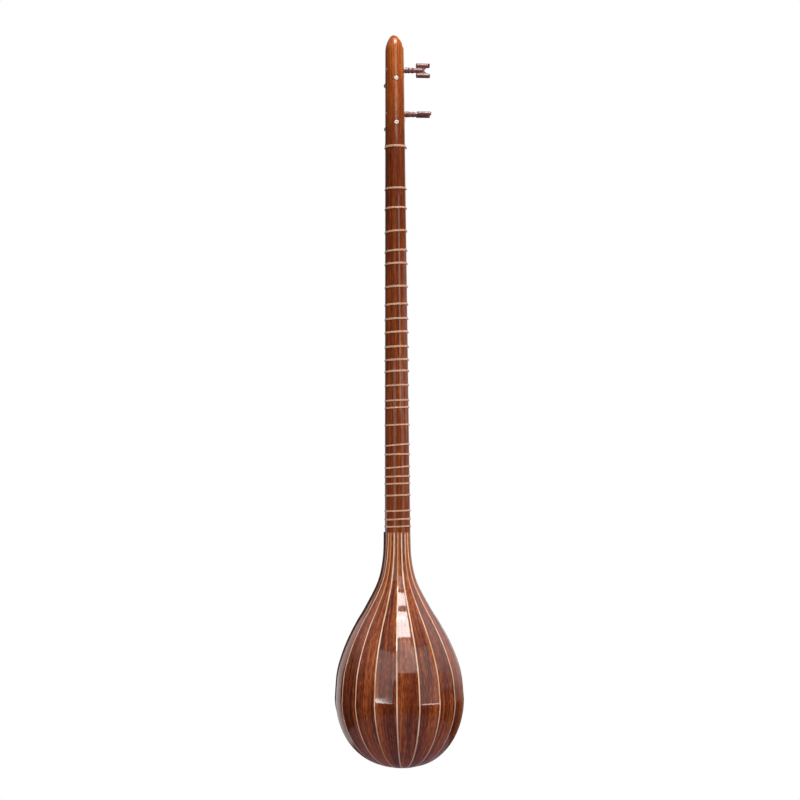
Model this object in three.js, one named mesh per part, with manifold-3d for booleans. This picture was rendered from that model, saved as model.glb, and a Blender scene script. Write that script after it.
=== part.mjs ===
// A setar, the long-necked Persian lute, as separate pieces at their real size in millimetres.
// Z runs up the neck, the playing face is the plane Y = 0 and looks along -Y, the ribbed bowl
// bulges towards +Y, and the two side pegs stick out along -X. The origin is where a wall hook
// holds the neck, just under the lowest peg.
import * as THREE from "three";
import { mergeVertices } from "three/addons/utils/BufferGeometryUtils.js";
import Module from "manifold-3d";

const wasm = await Module();
wasm.setup();
const { lerp, smoothstep, degToRad } = THREE.MathUtils;

// Lengths along the instrument
const hookAboveNut = 22;
const headLength = 132;
const neckLength = 448.6;
const bowlShoulderLength = 191.4;
const bowlHeelLength = 75;
const bridgeBelowWidest = 7.7;

// Neck
const neckHalfAtNut = 11;
const neckHalfAtJoint = 14;
const neckWallShare = 1.05;
const neckEdgeBevel = 0.8;
const tipRounding = 19;
const tipDepthShare = 0.35;
const clipFaceAbovePeg = 6;

// Bowl
const bowlHalfWidth = 74;
const bowlWall = 22;
const bowlDepth = 100;
const tailPointDepth = 50;
const rimHeelLength = 65;
const ribThickness = 2.8;
const purflingWidth = 1.7;
const throatLength = 90;
const fanLength = 100;

// Soundboard and the pieces on it
const soundboardThickness = 2.5;
const bindingWidth = 1.9;
const bindingOverhang = 1.3;
const soundHoleRadius = 1.3;
const soundHolePitch = 9;
const bridgeLength = 56;
const bridgeHeight = 8.4;
const bridgeThickness = 3.6;
const bridgeFootLength = 13;
const bridgeArchHeight = 3.2;
const bridgeEndHeight = 4.4;
const bridgeNotchRoom = 0.5;
const holderLength = 28;
const holderHeight = 4.4;
const holderThickness = 4.6;
const holderFromTail = 3.2;
const holderHoleDepth = 3;
const blockDepthInThroat = 26;
const tailBlockHalfWidth = 18;
const tailBlockHeight = 14;
const tailBlockDepth = 40;
const tailBlockSetback = 2.4;

// Nut and strings
const nutThickness = 2.8;
const nutHeight = 2.4;
const nutSlotDepth = 1.5;
const nutAboveTie = 2.3;
const stringAboveFaceAtNut = 1.8;
const stringAboveFaceAtBridge = 7.6;
const stringAboveFaceAtTail = 2.6;
const trebleGauge = 0.2;
const bassGauge = 0.35;

// Pegs
const pegPairPitch = 51.7;
const lowFrontPegAboveNut = 27.4;
const sidePegAboveFront = 11;
const sidePegDepth = 11;
const pegWallRadius = 3;
const pegEndRadius = 2.7;
const pegNeckRadius = 3.2;
const pegShaftOut = 14.3;
const pegRollRadius = 2.8;
const pegRollLength = 14.5;
const pegRollSpread = 5.9;
const pegWebThickness = 3;
const pegWebInset = 1.5;
const pegWebLength = 13;
const pegNotchDepth = 5;
const pegTipRadius = 2.7;
const pegTipThickness = 2;
const pegTipProud = 0.6;
const windingTurns = 4;
const windingSteps = 12;
const windingFromWall = 1.2;

// Gut bands
const gutThread = 0.5;
const thinGutThread = 0.4;
const bandTurns = 2;
const nutTieTurns = 3;

// Fits
const gap = 0.3;
const blockGap = 0.9;
const turnGap = 0.45;
const overrun = 5;

// Shares and counts
const shoulderAlongShares = [0, 0.154, 0.3, 0.451, 0.54, 0.645, 0.749, 0.854, 1];
const shoulderHalfShares = [0.19, 0.206, 0.289, 0.49, 0.632, 0.778, 0.89, 0.965, 1];
const tailRoundingShare = 0.8;
const keelDropShare = 1.25;
const rimShare = 0.975;
const jointFanShare = 0.8;
const ribAngle = degToRad(20);
const roundRibCount = 9;
const tailCapShare = 0.096;
const ribEndShare = 0.112;
const sideRibEndShare = 0.002;
const blockEndShare = 0.05;
const fretShares = [
  0.1094, 0.1605, 0.221, 0.2715, 0.3051, 0.3651, 0.4108, 0.4485, 0.4831, 0.5209, 0.5548, 0.5841,
  0.6209, 0.6599, 0.6785, 0.7232, 0.7746, 0.799, 0.8324, 0.856, 0.8747, 0.9046, 0.9447, 0.9663,
  0.9849,
];
const thinFretsFrom = 12;
const soundHoleMiddleShare = 0.72;
const soundHoleShares = [
  [0, 2], [-1, 1], [0, 1], [1, 1], [-1, 0], [0, 0], [1, 0], [0, -1],
  [-4, -1], [-4, 0], [-4.6, -2], [4, -1], [4, 0], [4.6, -2],
];
const nutStringShares = [0.68, 0.18, -0.45, -0.68];
const bridgeStringShares = [0.36, 0.1, -0.27, -0.38];
const tailStringShares = [0.55, 0.18, -0.35, -0.6];
const shoulderRows = 13;
const heelRows = 12;
const probeShare = 1e-4;

// Places along Z that follow from the lengths above
const nutZ = -hookAboveNut;
const tipZ = nutZ + headLength;
const jointZ = nutZ - neckLength;
const widestZ = jointZ - bowlShoulderLength;
const nutLowZ = nutZ + nutAboveTie;
const highFrontPegZ = nutZ + lowFrontPegAboveNut + pegPairPitch;
const bridgeZ = widestZ - bridgeBelowWidest;
const stringLength = nutLowZ - bridgeZ;
const tailRimZ = widestZ - rimHeelLength;
const holderZ = tailRimZ + holderFromTail + holderThickness;
const rimDepth = soundboardThickness + gap;

const wood = (color, roughness) => new THREE.MeshStandardMaterial({ color, roughness, metalness: 0 });
const metal = (color, roughness) => new THREE.MeshStandardMaterial({ color, roughness, metalness: 1 });
const materials = {
  neckWood: wood(0x6b3019, 0.25),
  ribWood: wood(0x6e4029, 0.25),
  purflingWood: wood(0xd9bd8f, 0.3),
  soundboardWood: wood(0xb9854a, 0.5),
  ebony: wood(0x36211f, 0.3),
  blockWood: wood(0xc8a574, 0.7),
  pegWood: wood(0x7a4334, 0.35),
  bone: wood(0xece3d0, 0.35),
  gut: wood(0xe1c3a5, 0.5),
  steel: metal(0xc9ccd0, 0.3),
  brass: metal(0xc9a25a, 0.3),
};

const setar = new THREE.Group();

// Adds one finished piece to the instrument.
function addPiece(name, geometry, material, parent = setar) {
  const mesh = new THREE.Mesh(geometry, material);
  mesh.name = name;
  parent.add(mesh);
  return mesh;
}

// Geometry helpers

// Turns a closed geometry into a manifold solid.
function solidOf(geometry) {
  const bare = new THREE.BufferGeometry();
  bare.setAttribute("position", geometry.getAttribute("position").clone());
  if (geometry.index) bare.setIndex(geometry.index.clone());
  const merged = mergeVertices(bare);
  const vertProperties = new Float32Array(merged.getAttribute("position").array);
  const triVerts = new Uint32Array(merged.index.array);
  return new wasm.Manifold(new wasm.Mesh({ numProp: 3, vertProperties, triVerts }));
}

// Turns a manifold solid back into a geometry.
function geometryOf(solid) {
  const mesh = solid.getMesh();
  const geometry = new THREE.BufferGeometry();
  geometry.setAttribute("position", new THREE.BufferAttribute(mesh.vertProperties, mesh.numProp));
  geometry.setIndex(new THREE.BufferAttribute(mesh.triVerts, 1));
  geometry.computeVertexNormals();
  return geometry;
}

// Cuts every tool geometry out of a base geometry.
function cut(base, ...tools) {
  return geometryOf(tools.reduce((solid, tool) => solid.subtract(solidOf(tool)), solidOf(base)));
}

// Joins geometries into one body.
function join(first, ...others) {
  return geometryOf(others.reduce((solid, other) => solid.add(solidOf(other)), solidOf(first)));
}

// Keeps what two geometries share.
function overlapOf(first, second) {
  return geometryOf(solidOf(first).intersect(solidOf(second)));
}

// Builds a closed geometry from points and triangles, turned so that its faces look outwards.
function closedGeometry(points, triangles) {
  const volume = triangles.reduce(
    (sum, [a, b, c]) => sum + points[a].dot(points[b].clone().cross(points[c])),
    0,
  );
  const faces = volume < 0 ? triangles.map(([a, b, c]) => [a, c, b]) : triangles;
  const geometry = new THREE.BufferGeometry().setFromPoints(points);
  geometry.setIndex(faces.flat());
  geometry.computeVertexNormals();
  return geometry;
}

// Closes a stack of equal rings, each a loop of points, with a fan over both ends.
function stackedRings(rings) {
  const size = rings[0].length;
  const points = rings.flat();
  const triangles = [];
  for (let row = 0; row < rings.length - 1; row++) {
    for (let k = 0; k < size; k++) {
      const next = (k + 1) % size;
      const [a, b] = [row * size + k, row * size + next];
      triangles.push([a, b, b + size], [a, b + size, a + size]);
    }
  }
  for (const [row, flip] of [[0, true], [rings.length - 1, false]]) {
    const centre = rings[row].reduce((sum, p) => sum.add(p), new THREE.Vector3());
    points.push(centre.divideScalar(size));
    for (let k = 0; k < size; k++) {
      const [a, b] = [row * size + k, row * size + ((k + 1) % size)];
      triangles.push(flip ? [b, a, points.length - 1] : [a, b, points.length - 1]);
    }
  }
  return closedGeometry(points, triangles);
}

// Sweeps a round section along points. The bends lie about square to the given direction.
function tube(path, radius, sides, across) {
  const rings = path.map((point, i) => {
    const before = point.clone().sub(path[Math.max(i - 1, 0)]).normalize();
    const after = path[Math.min(i + 1, path.length - 1)].clone().sub(point).normalize();
    const along = before.clone().add(after).normalize();
    const isEnd = i === 0 || i === path.length - 1;
    const stretch = isEnd ? 1 : Math.sqrt(2 / (1 + before.dot(after)));
    const up = across.clone().addScaledVector(along, -across.dot(along)).normalize();
    const out = along.clone().cross(up);
    return Array.from({ length: sides }, (_, k) => {
      const turn = (2 * Math.PI * k) / sides;
      return point
        .clone()
        .addScaledVector(out, radius * stretch * Math.cos(turn))
        .addScaledVector(up, radius * Math.sin(turn));
    });
  });
  return stackedRings(rings);
}

// A closed prism of an outline in X and Z, from one depth to another along Y.
function plateXZ(outline, frontY, backY, holes = []) {
  const shape = new THREE.Shape(outline);
  shape.holes = holes;
  const options = { depth: backY - frontY, bevelEnabled: false, curveSegments: 4 };
  const geometry = new THREE.ExtrudeGeometry(shape, options);
  geometry.rotateX(Math.PI / 2);
  return geometry.translate(0, backY, 0);
}

// A box between two corners.
function box(low, high) {
  const size = high.clone().sub(low);
  const middle = low.clone().add(high).divideScalar(2);
  return new THREE.BoxGeometry(size.x, size.y, size.z).translate(middle.x, middle.y, middle.z);
}

// Neck

// Half the neck's width at a height, on a straight taper through the nut and the body joint.
function neckHalf(z) {
  return neckHalfAtNut + ((neckHalfAtJoint - neckHalfAtNut) * (nutZ - z)) / neckLength;
}

// The neck's outline at a height, grown outwards by an offset: flat front, straight sides and
// a half-round back. The arc's corners lie outside the true arc when circumscribed.
function neckOutline(z, offset, arcSteps, bevel, circumscribed) {
  const half = neckHalf(z) + offset;
  const wall = neckHalf(z) * neckWallShare;
  const radius = circumscribed ? half / Math.cos(Math.PI / arcSteps / 2) : half;
  const arc = Array.from({ length: arcSteps + 1 }, (_, k) => {
    const turn = (Math.PI * k) / arcSteps;
    return [radius * Math.cos(turn), wall + radius * Math.sin(turn)];
  });
  const front = bevel
    ? [[-half, bevel], [bevel - half, 0], [half - bevel, 0], [half, bevel]]
    : [[-half, -offset], [half, -offset]];
  return [...front, ...arc].map(([x, y]) => new THREE.Vector3(x, y, z));
}

function neckGeometry() {
  const arcSteps = 12;
  const roundingShares = [0, 0.3, 0.55, 0.75, 0.9, 0.97, 0.995];
  const straightZ = [jointZ, nutZ, highFrontPegZ + clipFaceAbovePeg, tipZ - tipRounding];
  const straight = straightZ.map((z) => neckOutline(z, 0, arcSteps, neckEdgeBevel, false));
  const rounded = roundingShares.slice(1).map((share) => {
    const z = tipZ - tipRounding + tipRounding * share;
    const shrink = Math.sqrt(1 - share * share);
    const middle = 2 * neckHalf(z) * tipDepthShare;
    return neckOutline(z, 0, arcSteps, neckEdgeBevel, false).map(
      (p) => new THREE.Vector3(p.x * shrink, lerp(middle, p.y, shrink), z),
    );
  });
  return stackedRings([...straight, ...rounded]);
}

// Pegs

// Each peg's name, height, whether it goes in from the side, and the turn of its wings.
const pegs = [
  { name: "front_lower", z: nutZ + lowFrontPegAboveNut, side: false, turn: 0 },
  { name: "front_upper", z: highFrontPegZ, side: false, turn: 0 },
  {
    name: "side_lower",
    z: nutZ + lowFrontPegAboveNut + sidePegAboveFront,
    side: true,
    turn: Math.PI / 2,
  },
  {
    name: "side_upper",
    z: highFrontPegZ + sidePegAboveFront,
    side: true,
    turn: 0,
  },
];

// How much neck a peg goes through.
function neckThickness(peg) {
  const half = neckHalf(peg.z);
  return peg.side ? 2 * half : half * (1 + neckWallShare);
}

// The frame of a peg: its local Y runs out of the wall towards the wings, from the wall.
function pegFrame(peg) {
  const frame = new THREE.Group();
  if (peg.side) {
    frame.position.set(-neckHalf(peg.z), sidePegDepth, peg.z);
    frame.rotation.set(0, 0, Math.PI / 2);
  } else {
    frame.position.set(0, 0, peg.z);
    frame.rotation.set(Math.PI, 0, 0);
  }
  return frame;
}

// A peg: a tapered shaft through the neck, and two rolls joined by a notched web.
function pegGeometry(peg) {
  const through = neckThickness(peg);
  const tipPocket = peg.side ? -pegTipProud : pegTipThickness - pegTipProud + gap;
  const rollStart = pegShaftOut;
  const rollEnd = rollStart + pegRollLength;
  const webStart = rollStart + pegWebInset;
  const webEnd = webStart + pegWebLength - pegWebInset;
  const shaft = new THREE.LatheGeometry(
    [
      new THREE.Vector2(0, tipPocket - through),
      new THREE.Vector2(pegEndRadius, tipPocket - through),
      new THREE.Vector2(pegWallRadius, 0),
      new THREE.Vector2(pegNeckRadius, webStart),
      new THREE.Vector2(pegRollRadius, webStart + pegWebLength / 2),
      new THREE.Vector2(0, webStart + pegWebLength / 2),
    ],
    16,
  );
  const rolls = [-1, 1].map((side) =>
    new THREE.CylinderGeometry(pegRollRadius, pegRollRadius, pegRollLength, 12).translate(
      side * pegRollSpread,
      (rollStart + rollEnd) / 2,
      0,
    ),
  );
  const outline = [
    new THREE.Vector2(-pegRollSpread, webStart),
    new THREE.Vector2(pegRollSpread, webStart),
    new THREE.Vector2(pegRollSpread, webEnd),
    new THREE.Vector2(0, webEnd - pegNotchDepth),
    new THREE.Vector2(-pegRollSpread, webEnd),
  ];
  const webOptions = { depth: pegWebThickness, bevelEnabled: false };
  const web = new THREE.ExtrudeGeometry(new THREE.Shape(outline), webOptions);
  web.translate(0, 0, -pegWebThickness / 2);
  return join(shaft, ...rolls, web).rotateY(peg.turn + (peg.side ? Math.PI / 2 : 0));
}

// The hole that a peg turns in, in the peg's frame.
function pegHole(peg) {
  const length = neckThickness(peg) + 2 * overrun;
  const hole = new THREE.CylinderGeometry(pegWallRadius + gap, pegWallRadius + gap, length, 16);
  hole.translate(0, overrun - length / 2, 0);
  const frame = pegFrame(peg);
  frame.updateMatrix();
  return hole.applyMatrix4(frame.matrix);
}

function addNeck() {
  const half = neckHalf(nutLowZ);
  const slot = box(
    new THREE.Vector3(-half - overrun, -overrun, nutLowZ - gap),
    new THREE.Vector3(half + overrun, nutSlotDepth + gap, nutLowZ + nutThickness + gap),
  );
  addPiece("neck", cut(neckGeometry(), slot, ...pegs.map(pegHole)), materials.neckWood);
}

// The distance from a peg's axis to the corners of the string wound on it, clear of the shaft.
function windingCornerRadius(gauge) {
  return (pegNeckRadius + gap + gauge / 2) / Math.cos(Math.PI / windingSteps);
}

// How far from the wall the middle of the winding lies.
function windingMiddle(gauge) {
  return windingFromWall + ((gauge + turnGap) * windingTurns) / 2;
}

function addPegs(gauges) {
  for (const peg of pegs) {
    const gauge = gauges[peg.name];
    const frame = pegFrame(peg);
    setar.add(frame);
    addPiece(`peg_${peg.name}`, pegGeometry(peg), materials.pegWood, frame);
    if (!peg.side) {
      const tip = new THREE.CylinderGeometry(pegTipRadius, pegTipRadius, pegTipThickness, 16);
      tip.translate(0, pegTipThickness / 2 - pegTipProud - neckThickness(peg), 0);
      addPiece(`peg_tip_${peg.name}`, tip, materials.bone, frame);
    }
    const pitch = gauge + turnGap;
    const radius = windingCornerRadius(gauge);
    const path = Array.from({ length: windingTurns * windingSteps + 1 }, (_, k) => {
      const turn = (2 * Math.PI * k) / windingSteps;
      const along = windingFromWall + (pitch * k) / windingSteps;
      return new THREE.Vector3(radius * Math.cos(turn), along, radius * Math.sin(turn));
    });
    reportSelfGap(`winding_${peg.name}`, path, gauge, windingSteps);
    const coil = tube(path, gauge / 2, 4, new THREE.Vector3(0, 1, 0));
    addPiece(`winding_${peg.name}`, coil, materials.steel, frame);
  }
}

// Prints the least gap between two turns of one winding, measured on points along its path.
function reportSelfGap(name, path, thread, steps) {
  const apart = Math.floor(steps / 2);
  const curve = new THREE.CurvePath();
  path.slice(1).forEach((point, k) => curve.add(new THREE.LineCurve3(path[k], point)));
  const samples = 4;
  const points = curve.curves.flatMap((line) => line.getPoints(samples).slice(1));
  let least = Infinity;
  for (let i = 0; i < points.length; i++) {
    for (let j = i + apart * samples; j < points.length; j++) {
      least = Math.min(least, points[i].distanceTo(points[j]) - thread);
    }
  }
  console.log(`${name}: least gap to itself ${least.toFixed(3)} mm`);
}

// Gut bands: the tie at the nut and the frets, each one thread wound round the neck

function addGutBand(name, middleZ, turns, thread) {
  const arcSteps = 8;
  const offset = gap + thread / 2;
  const pitch = thread + turnGap;
  const steps = neckOutline(middleZ, offset, arcSteps, 0, true).length;
  const path = Array.from({ length: turns * steps + 1 }, (_, k) => {
    const z = middleZ + pitch * (k / steps - turns / 2);
    return neckOutline(z, offset, arcSteps, 0, true)[(k + 1) % steps];
  });
  reportSelfGap(name, path, thread, steps);
  const band = tube(path, thread / 2, 4, new THREE.Vector3(0, 0, 1));
  addPiece(name, band, materials.gut);
}

function addGutBands() {
  addGutBand("nut_tie", nutZ, nutTieTurns, gutThread);
  fretShares.forEach((share, k) => {
    const thread = k < thinFretsFrom ? gutThread : thinGutThread;
    const name = `fret_${String(k + 1).padStart(2, "0")}`;
    addGutBand(name, nutZ - neckLength * share, bandTurns, thread);
  });
}

// Bowl surface

const shoulderCurve = new THREE.SplineCurve(
  shoulderAlongShares.map(
    (share, k) =>
      new THREE.Vector2(bowlShoulderLength * share, bowlHalfWidth * shoulderHalfShares[k]),
  ),
);

// The bowl's section at a place: -1 at the neck joint, 0 at the widest place, 1 at the tail.
// It has a round part from the keel to the side, and a wall from the side to the rim.
function bowlSection(place) {
  if (place <= 0) {
    const { x: along, y: half } = shoulderCurve.getPoint(1 + place);
    const share = along / bowlShoulderLength;
    const wallShare = lerp(neckWallShare, bowlWall / bowlHalfWidth, smoothstep(along, 0, throatLength));
    const backShare = lerp(1, (bowlDepth - bowlWall) / bowlHalfWidth, share);
    const z = jointZ - along;
    return {
      half,
      side: half * wallShare,
      keel: half * (wallShare + backShare),
      sideZ: z,
      keelZ: z,
      rimHalf: half * lerp(1, rimShare, share),
      rimZ: z,
      fan: lerp(jointFanShare, 1, smoothstep(along, 0, fanLength)),
    };
  }
  const shrink = Math.cos((place * Math.PI) / 2);
  const drop = Math.sin((place * Math.PI) / 2);
  return {
    half: bowlHalfWidth * shrink ** tailRoundingShare,
    side: lerp(tailPointDepth, bowlWall, shrink),
    keel: lerp(tailPointDepth, bowlDepth, shrink),
    sideZ: widestZ - bowlHeelLength * drop,
    keelZ: widestZ - bowlHeelLength * drop ** keelDropShare,
    rimHalf: bowlHalfWidth * rimShare * shrink,
    rimZ: widestZ - rimHeelLength * drop,
    fan: 1,
  };
}

// Lengths round a section: from the keel to the side, and from there to the rim.
function sectionLengths(section) {
  const { half, side, sideZ, rimHalf, rimZ } = section;
  const round = (half * Math.PI) / 2;
  return { round, total: round + Math.hypot(half - rimHalf, side - rimDepth, sideZ - rimZ) };
}

// A point of the bowl's outer surface, at a share of the way from the keel (0) to a rim (-1, 1).
function bowlPoint(place, share) {
  const section = bowlSection(place);
  const { half, side, keel, sideZ, keelZ, rimHalf, rimZ } = section;
  const { round, total } = sectionLengths(section);
  const hand = share < 0 ? -1 : 1;
  const reach = Math.abs(share) * total;
  if (reach <= round) {
    const turn = reach / half;
    const back = Math.cos(turn);
    return new THREE.Vector3(
      hand * half * Math.sin(turn),
      lerp(side, keel, back),
      lerp(sideZ, keelZ, back),
    );
  }
  const lean = (side - rimDepth) / 2 / (keel - side);
  const wall = new THREE.QuadraticBezierCurve3(
    new THREE.Vector3(hand * half, side, sideZ),
    new THREE.Vector3(hand * half, (side + rimDepth) / 2, sideZ + (sideZ - keelZ) * lean),
    new THREE.Vector3(hand * rimHalf, rimDepth, rimZ),
  );
  return wall.getPoint(Math.min((reach - round) / (total - round), 1));
}

// The bowl's outward normal at a point.
function bowlNormal(place, share) {
  const step = place < 0 ? probeShare : -probeShare;
  const turn = share < 0 ? probeShare : -probeShare;
  const here = bowlPoint(place, share);
  const along = bowlPoint(place + step, share).sub(here).multiplyScalar(Math.sign(step));
  const round = bowlPoint(place, share + turn).sub(here).multiplyScalar(Math.sign(turn));
  return round.cross(along).normalize();
}

// A point at a depth under the bowl's outer surface.
function underBowl(place, share, depth) {
  return bowlPoint(place, share).addScaledVector(bowlNormal(place, share), -depth);
}

// The share at which the seam of a number lies, moved by a distance away from the keel.
function seamShare(place, seam, shift) {
  const section = bowlSection(place);
  const angle = ribAngle * (Math.abs(seam) - 0.5) * section.fan;
  return (Math.sign(seam) * (section.half * angle + shift)) / sectionLengths(section).total;
}

// The place at which the bowl has shrunk to a share of its width on the way to the tail.
function placeAtShrink(share) {
  return (2 / Math.PI) * Math.acos(share);
}

// Places from the neck joint to an end, close together where the bowl curves most.
function bowlPlaces(end) {
  const shoulder = Array.from({ length: shoulderRows }, (_, k) => k / shoulderRows - 1);
  const heel = Array.from({ length: heelRows + 1 }, (_, k) => (end * k) / heelRows);
  return [...shoulder, ...heel];
}

// A piece of the shell between two edges, each a share worked out at every place.
function shellPiece(places, firstEdge, lastEdge, columns) {
  const width = columns + 1;
  const points = [];
  for (const depth of [0, ribThickness]) {
    for (const place of places) {
      const [first, last] = [firstEdge(place), lastEdge(place)];
      for (let k = 0; k < width; k++) {
        points.push(underBowl(place, lerp(first, last, k / columns), depth));
      }
    }
  }
  const layer = places.length * width;
  const at = (depth, row, column) => depth * layer + row * width + column;
  const quad = (a, b, c, d) => [[a, b, c], [a, c, d]];
  const triangles = [];
  for (let row = 0; row < places.length - 1; row++) {
    for (let k = 0; k < columns; k++) {
      triangles.push(...quad(at(0, row, k), at(0, row, k + 1), at(0, row + 1, k + 1), at(0, row + 1, k)));
      triangles.push(...quad(at(1, row, k), at(1, row + 1, k), at(1, row + 1, k + 1), at(1, row, k + 1)));
    }
    triangles.push(...quad(at(0, row, 0), at(0, row + 1, 0), at(1, row + 1, 0), at(1, row, 0)));
    triangles.push(
      ...quad(at(0, row, columns), at(1, row, columns), at(1, row + 1, columns), at(0, row + 1, columns)),
    );
  }
  const end = places.length - 1;
  for (let k = 0; k < columns; k++) {
    triangles.push(...quad(at(0, 0, k), at(1, 0, k), at(1, 0, k + 1), at(0, 0, k + 1)));
    triangles.push(...quad(at(0, end, k), at(0, end, k + 1), at(1, end, k + 1), at(1, end, k)));
  }
  return closedGeometry(points, triangles);
}

// The oval cap at the tail, grown by an offset and a thickness that reaches past it.
function tailOval(offset, under, over) {
  const section = bowlSection(placeAtShrink(tailCapShare));
  const oval = new THREE.Shape();
  const [across, deep] = [section.half + offset, section.keel - section.side + offset];
  oval.absellipse(0, section.side, across, deep, 0, 2 * Math.PI, false, 0);
  const options = { depth: under + over, bevelEnabled: false, curveSegments: 12 };
  return new THREE.ExtrudeGeometry(oval, options).translate(0, 0, widestZ - bowlHeelLength - under);
}

function addRibs() {
  const edge = purflingWidth / 2 + gap;
  const seams = (roundRibCount + 1) / 2;
  const places = bowlPlaces(placeAtShrink(ribEndShare));
  for (let k = 1 - seams; k < seams; k++) {
    const first = (place) =>
      k > 0 ? seamShare(place, k, edge) : seamShare(place, k - 1, -edge);
    const last = (place) => (k < 0 ? seamShare(place, k, edge) : seamShare(place, k + 1, -edge));
    const name = `rib_${String(k + seams + 1).padStart(2, "0")}`;
    addPiece(name, shellPiece(places, first, last, 2), materials.ribWood);
  }
  const sidePlaces = bowlPlaces(placeAtShrink(sideRibEndShare));
  const oval = tailOval(gap, overrun, ribThickness + overrun);
  for (const hand of [-1, 1]) {
    const first = (place) => seamShare(place, hand * seams, edge);
    const last = () => hand;
    const name = hand < 0 ? "rib_01" : `rib_${String(roundRibCount + 2).padStart(2, "0")}`;
    addPiece(name, cut(shellPiece(sidePlaces, first, last, 3), oval), materials.ribWood);
  }
}

// The light strips between the ribs, joined by the cap that they run into at the tail.
function addPurfling() {
  const seams = (roundRibCount + 1) / 2;
  const places = bowlPlaces(placeAtShrink(tailCapShare / 2));
  const strips = [];
  for (let k = 1; k <= seams; k++) {
    for (const hand of [-1, 1]) {
      const first = (place) => seamShare(place, hand * k, -purflingWidth / 2);
      const last = (place) => seamShare(place, hand * k, purflingWidth / 2);
      strips.push(shellPiece(places, first, last, 1));
    }
  }
  addPiece("rib_purfling", join(tailOval(0, 0, ribThickness), ...strips), materials.purflingWood);
}

// Everything inside the shell, less a depth, closed flat at the front.
function bowlInside(depth, frontY) {
  const columns = 8;
  const rings = bowlPlaces(placeAtShrink(blockEndShare)).map((place) => {
    const shares = Array.from({ length: 2 * columns + 1 }, (_, k) => k / columns - 1);
    const round = shares.map((share) => underBowl(place, share, depth));
    const [left, right] = [round[0].clone(), round[2 * columns].clone()];
    return [left.setY(frontY), ...round, right.setY(frontY)];
  });
  return stackedRings(rings);
}

// The two blocks glued inside the bowl, at the neck and at the tail.
function addBlocks() {
  const fit = ribThickness + blockGap;
  const front = rimDepth;
  const throat = box(
    new THREE.Vector3(-bowlHalfWidth, front, jointZ - gap - blockDepthInThroat),
    new THREE.Vector3(bowlHalfWidth, bowlDepth, jointZ - gap),
  );
  const tailZ = widestZ - bowlHeelLength;
  const tail = box(
    new THREE.Vector3(-tailBlockHalfWidth, front + tailBlockSetback, tailZ),
    new THREE.Vector3(tailBlockHalfWidth, tailBlockDepth, tailZ + ribThickness + tailBlockHeight),
  );
  const inside = bowlInside(fit, 0);
  addPiece("neck_block", overlapOf(inside, throat), materials.blockWood);
  addPiece("tail_block", overlapOf(inside, tail), materials.blockWood);
}

// Soundboard

// The outline of the soundboard's right side in X and Z, moved outwards by a distance.
function rimOutline(offset) {
  const places = bowlPlaces(1);
  const rim = places.map((place) => {
    const { rimHalf, rimZ } = bowlSection(place);
    return new THREE.Vector2(rimHalf, rimZ);
  });
  return rim.map((point, k) => {
    const before = rim[Math.max(k - 1, 0)];
    const after = rim[k + 1] ?? new THREE.Vector2(-rim[k - 1].x, rim[k - 1].y);
    const along = after.clone().sub(before).normalize();
    return new THREE.Vector2(point.x - along.y * offset, point.y + along.x * offset);
  });
}

// A closed outline from its right half, mirrored to the left. The last point lies in the middle.
function bothSides(right) {
  const left = right.slice(0, -1).map((point) => new THREE.Vector2(-point.x, point.y));
  return [...right, ...left.reverse()];
}

// Sound holes: a diamond of holes in the middle and three on each side.
function soundHoles() {
  const middleZ = lerp(jointZ, widestZ, soundHoleMiddleShare);
  return soundHoleShares.map(([x, z]) => {
    const hole = new THREE.Path();
    const place = [soundHolePitch * x, middleZ + soundHolePitch * z];
    hole.absarc(...place, soundHoleRadius, 0, 2 * Math.PI, false);
    return hole;
  });
}

function addSoundboard() {
  const board = bothSides(rimOutline(bindingOverhang - bindingWidth - gap));
  const boardTop = board.map((p) => new THREE.Vector2(p.x, Math.min(p.y, jointZ - gap)));
  addPiece("soundboard", plateXZ(boardTop, 0, soundboardThickness, soundHoles()), materials.soundboardWood);
  const outer = bothSides(rimOutline(bindingOverhang));
  const inner = bothSides(rimOutline(bindingOverhang - bindingWidth)).reverse();
  const band = [...outer, ...inner].map((p) => new THREE.Vector2(p.x, Math.min(p.y, jointZ - gap)));
  addPiece("edge_binding", plateXZ(band, 0, soundboardThickness), materials.ebony);
}

// Strings and what they run over

// The string's height over the face at a height of its speaking length.
function stringRise(z) {
  const share = (nutLowZ - z) / stringLength;
  return lerp(stringAboveFaceAtNut, stringAboveFaceAtBridge, share);
}

const strings = [
  { name: "string_1", gauge: trebleGauge, peg: "front_upper", material: materials.steel },
  { name: "string_2", gauge: trebleGauge, peg: "front_lower", material: materials.brass },
  { name: "string_3", gauge: trebleGauge, peg: "side_upper", material: materials.steel },
  { name: "string_4", gauge: bassGauge, peg: "side_lower", material: materials.brass },
];

// Where string k crosses the nut, the bridge and the string holder.
function stringPlaces(k) {
  const nutX = neckHalf(nutLowZ) * nutStringShares[k];
  const bridgeX = (bridgeLength / 2) * bridgeStringShares[k];
  const holderX = (holderLength / 2) * tailStringShares[k];
  return {
    nut: new THREE.Vector3(nutX, -stringAboveFaceAtNut, nutLowZ + nutThickness / 2),
    bridge: new THREE.Vector3(bridgeX, -stringRise(bridgeZ), bridgeZ),
    holder: new THREE.Vector3(holderX, -stringAboveFaceAtTail, holderZ),
  };
}

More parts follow.
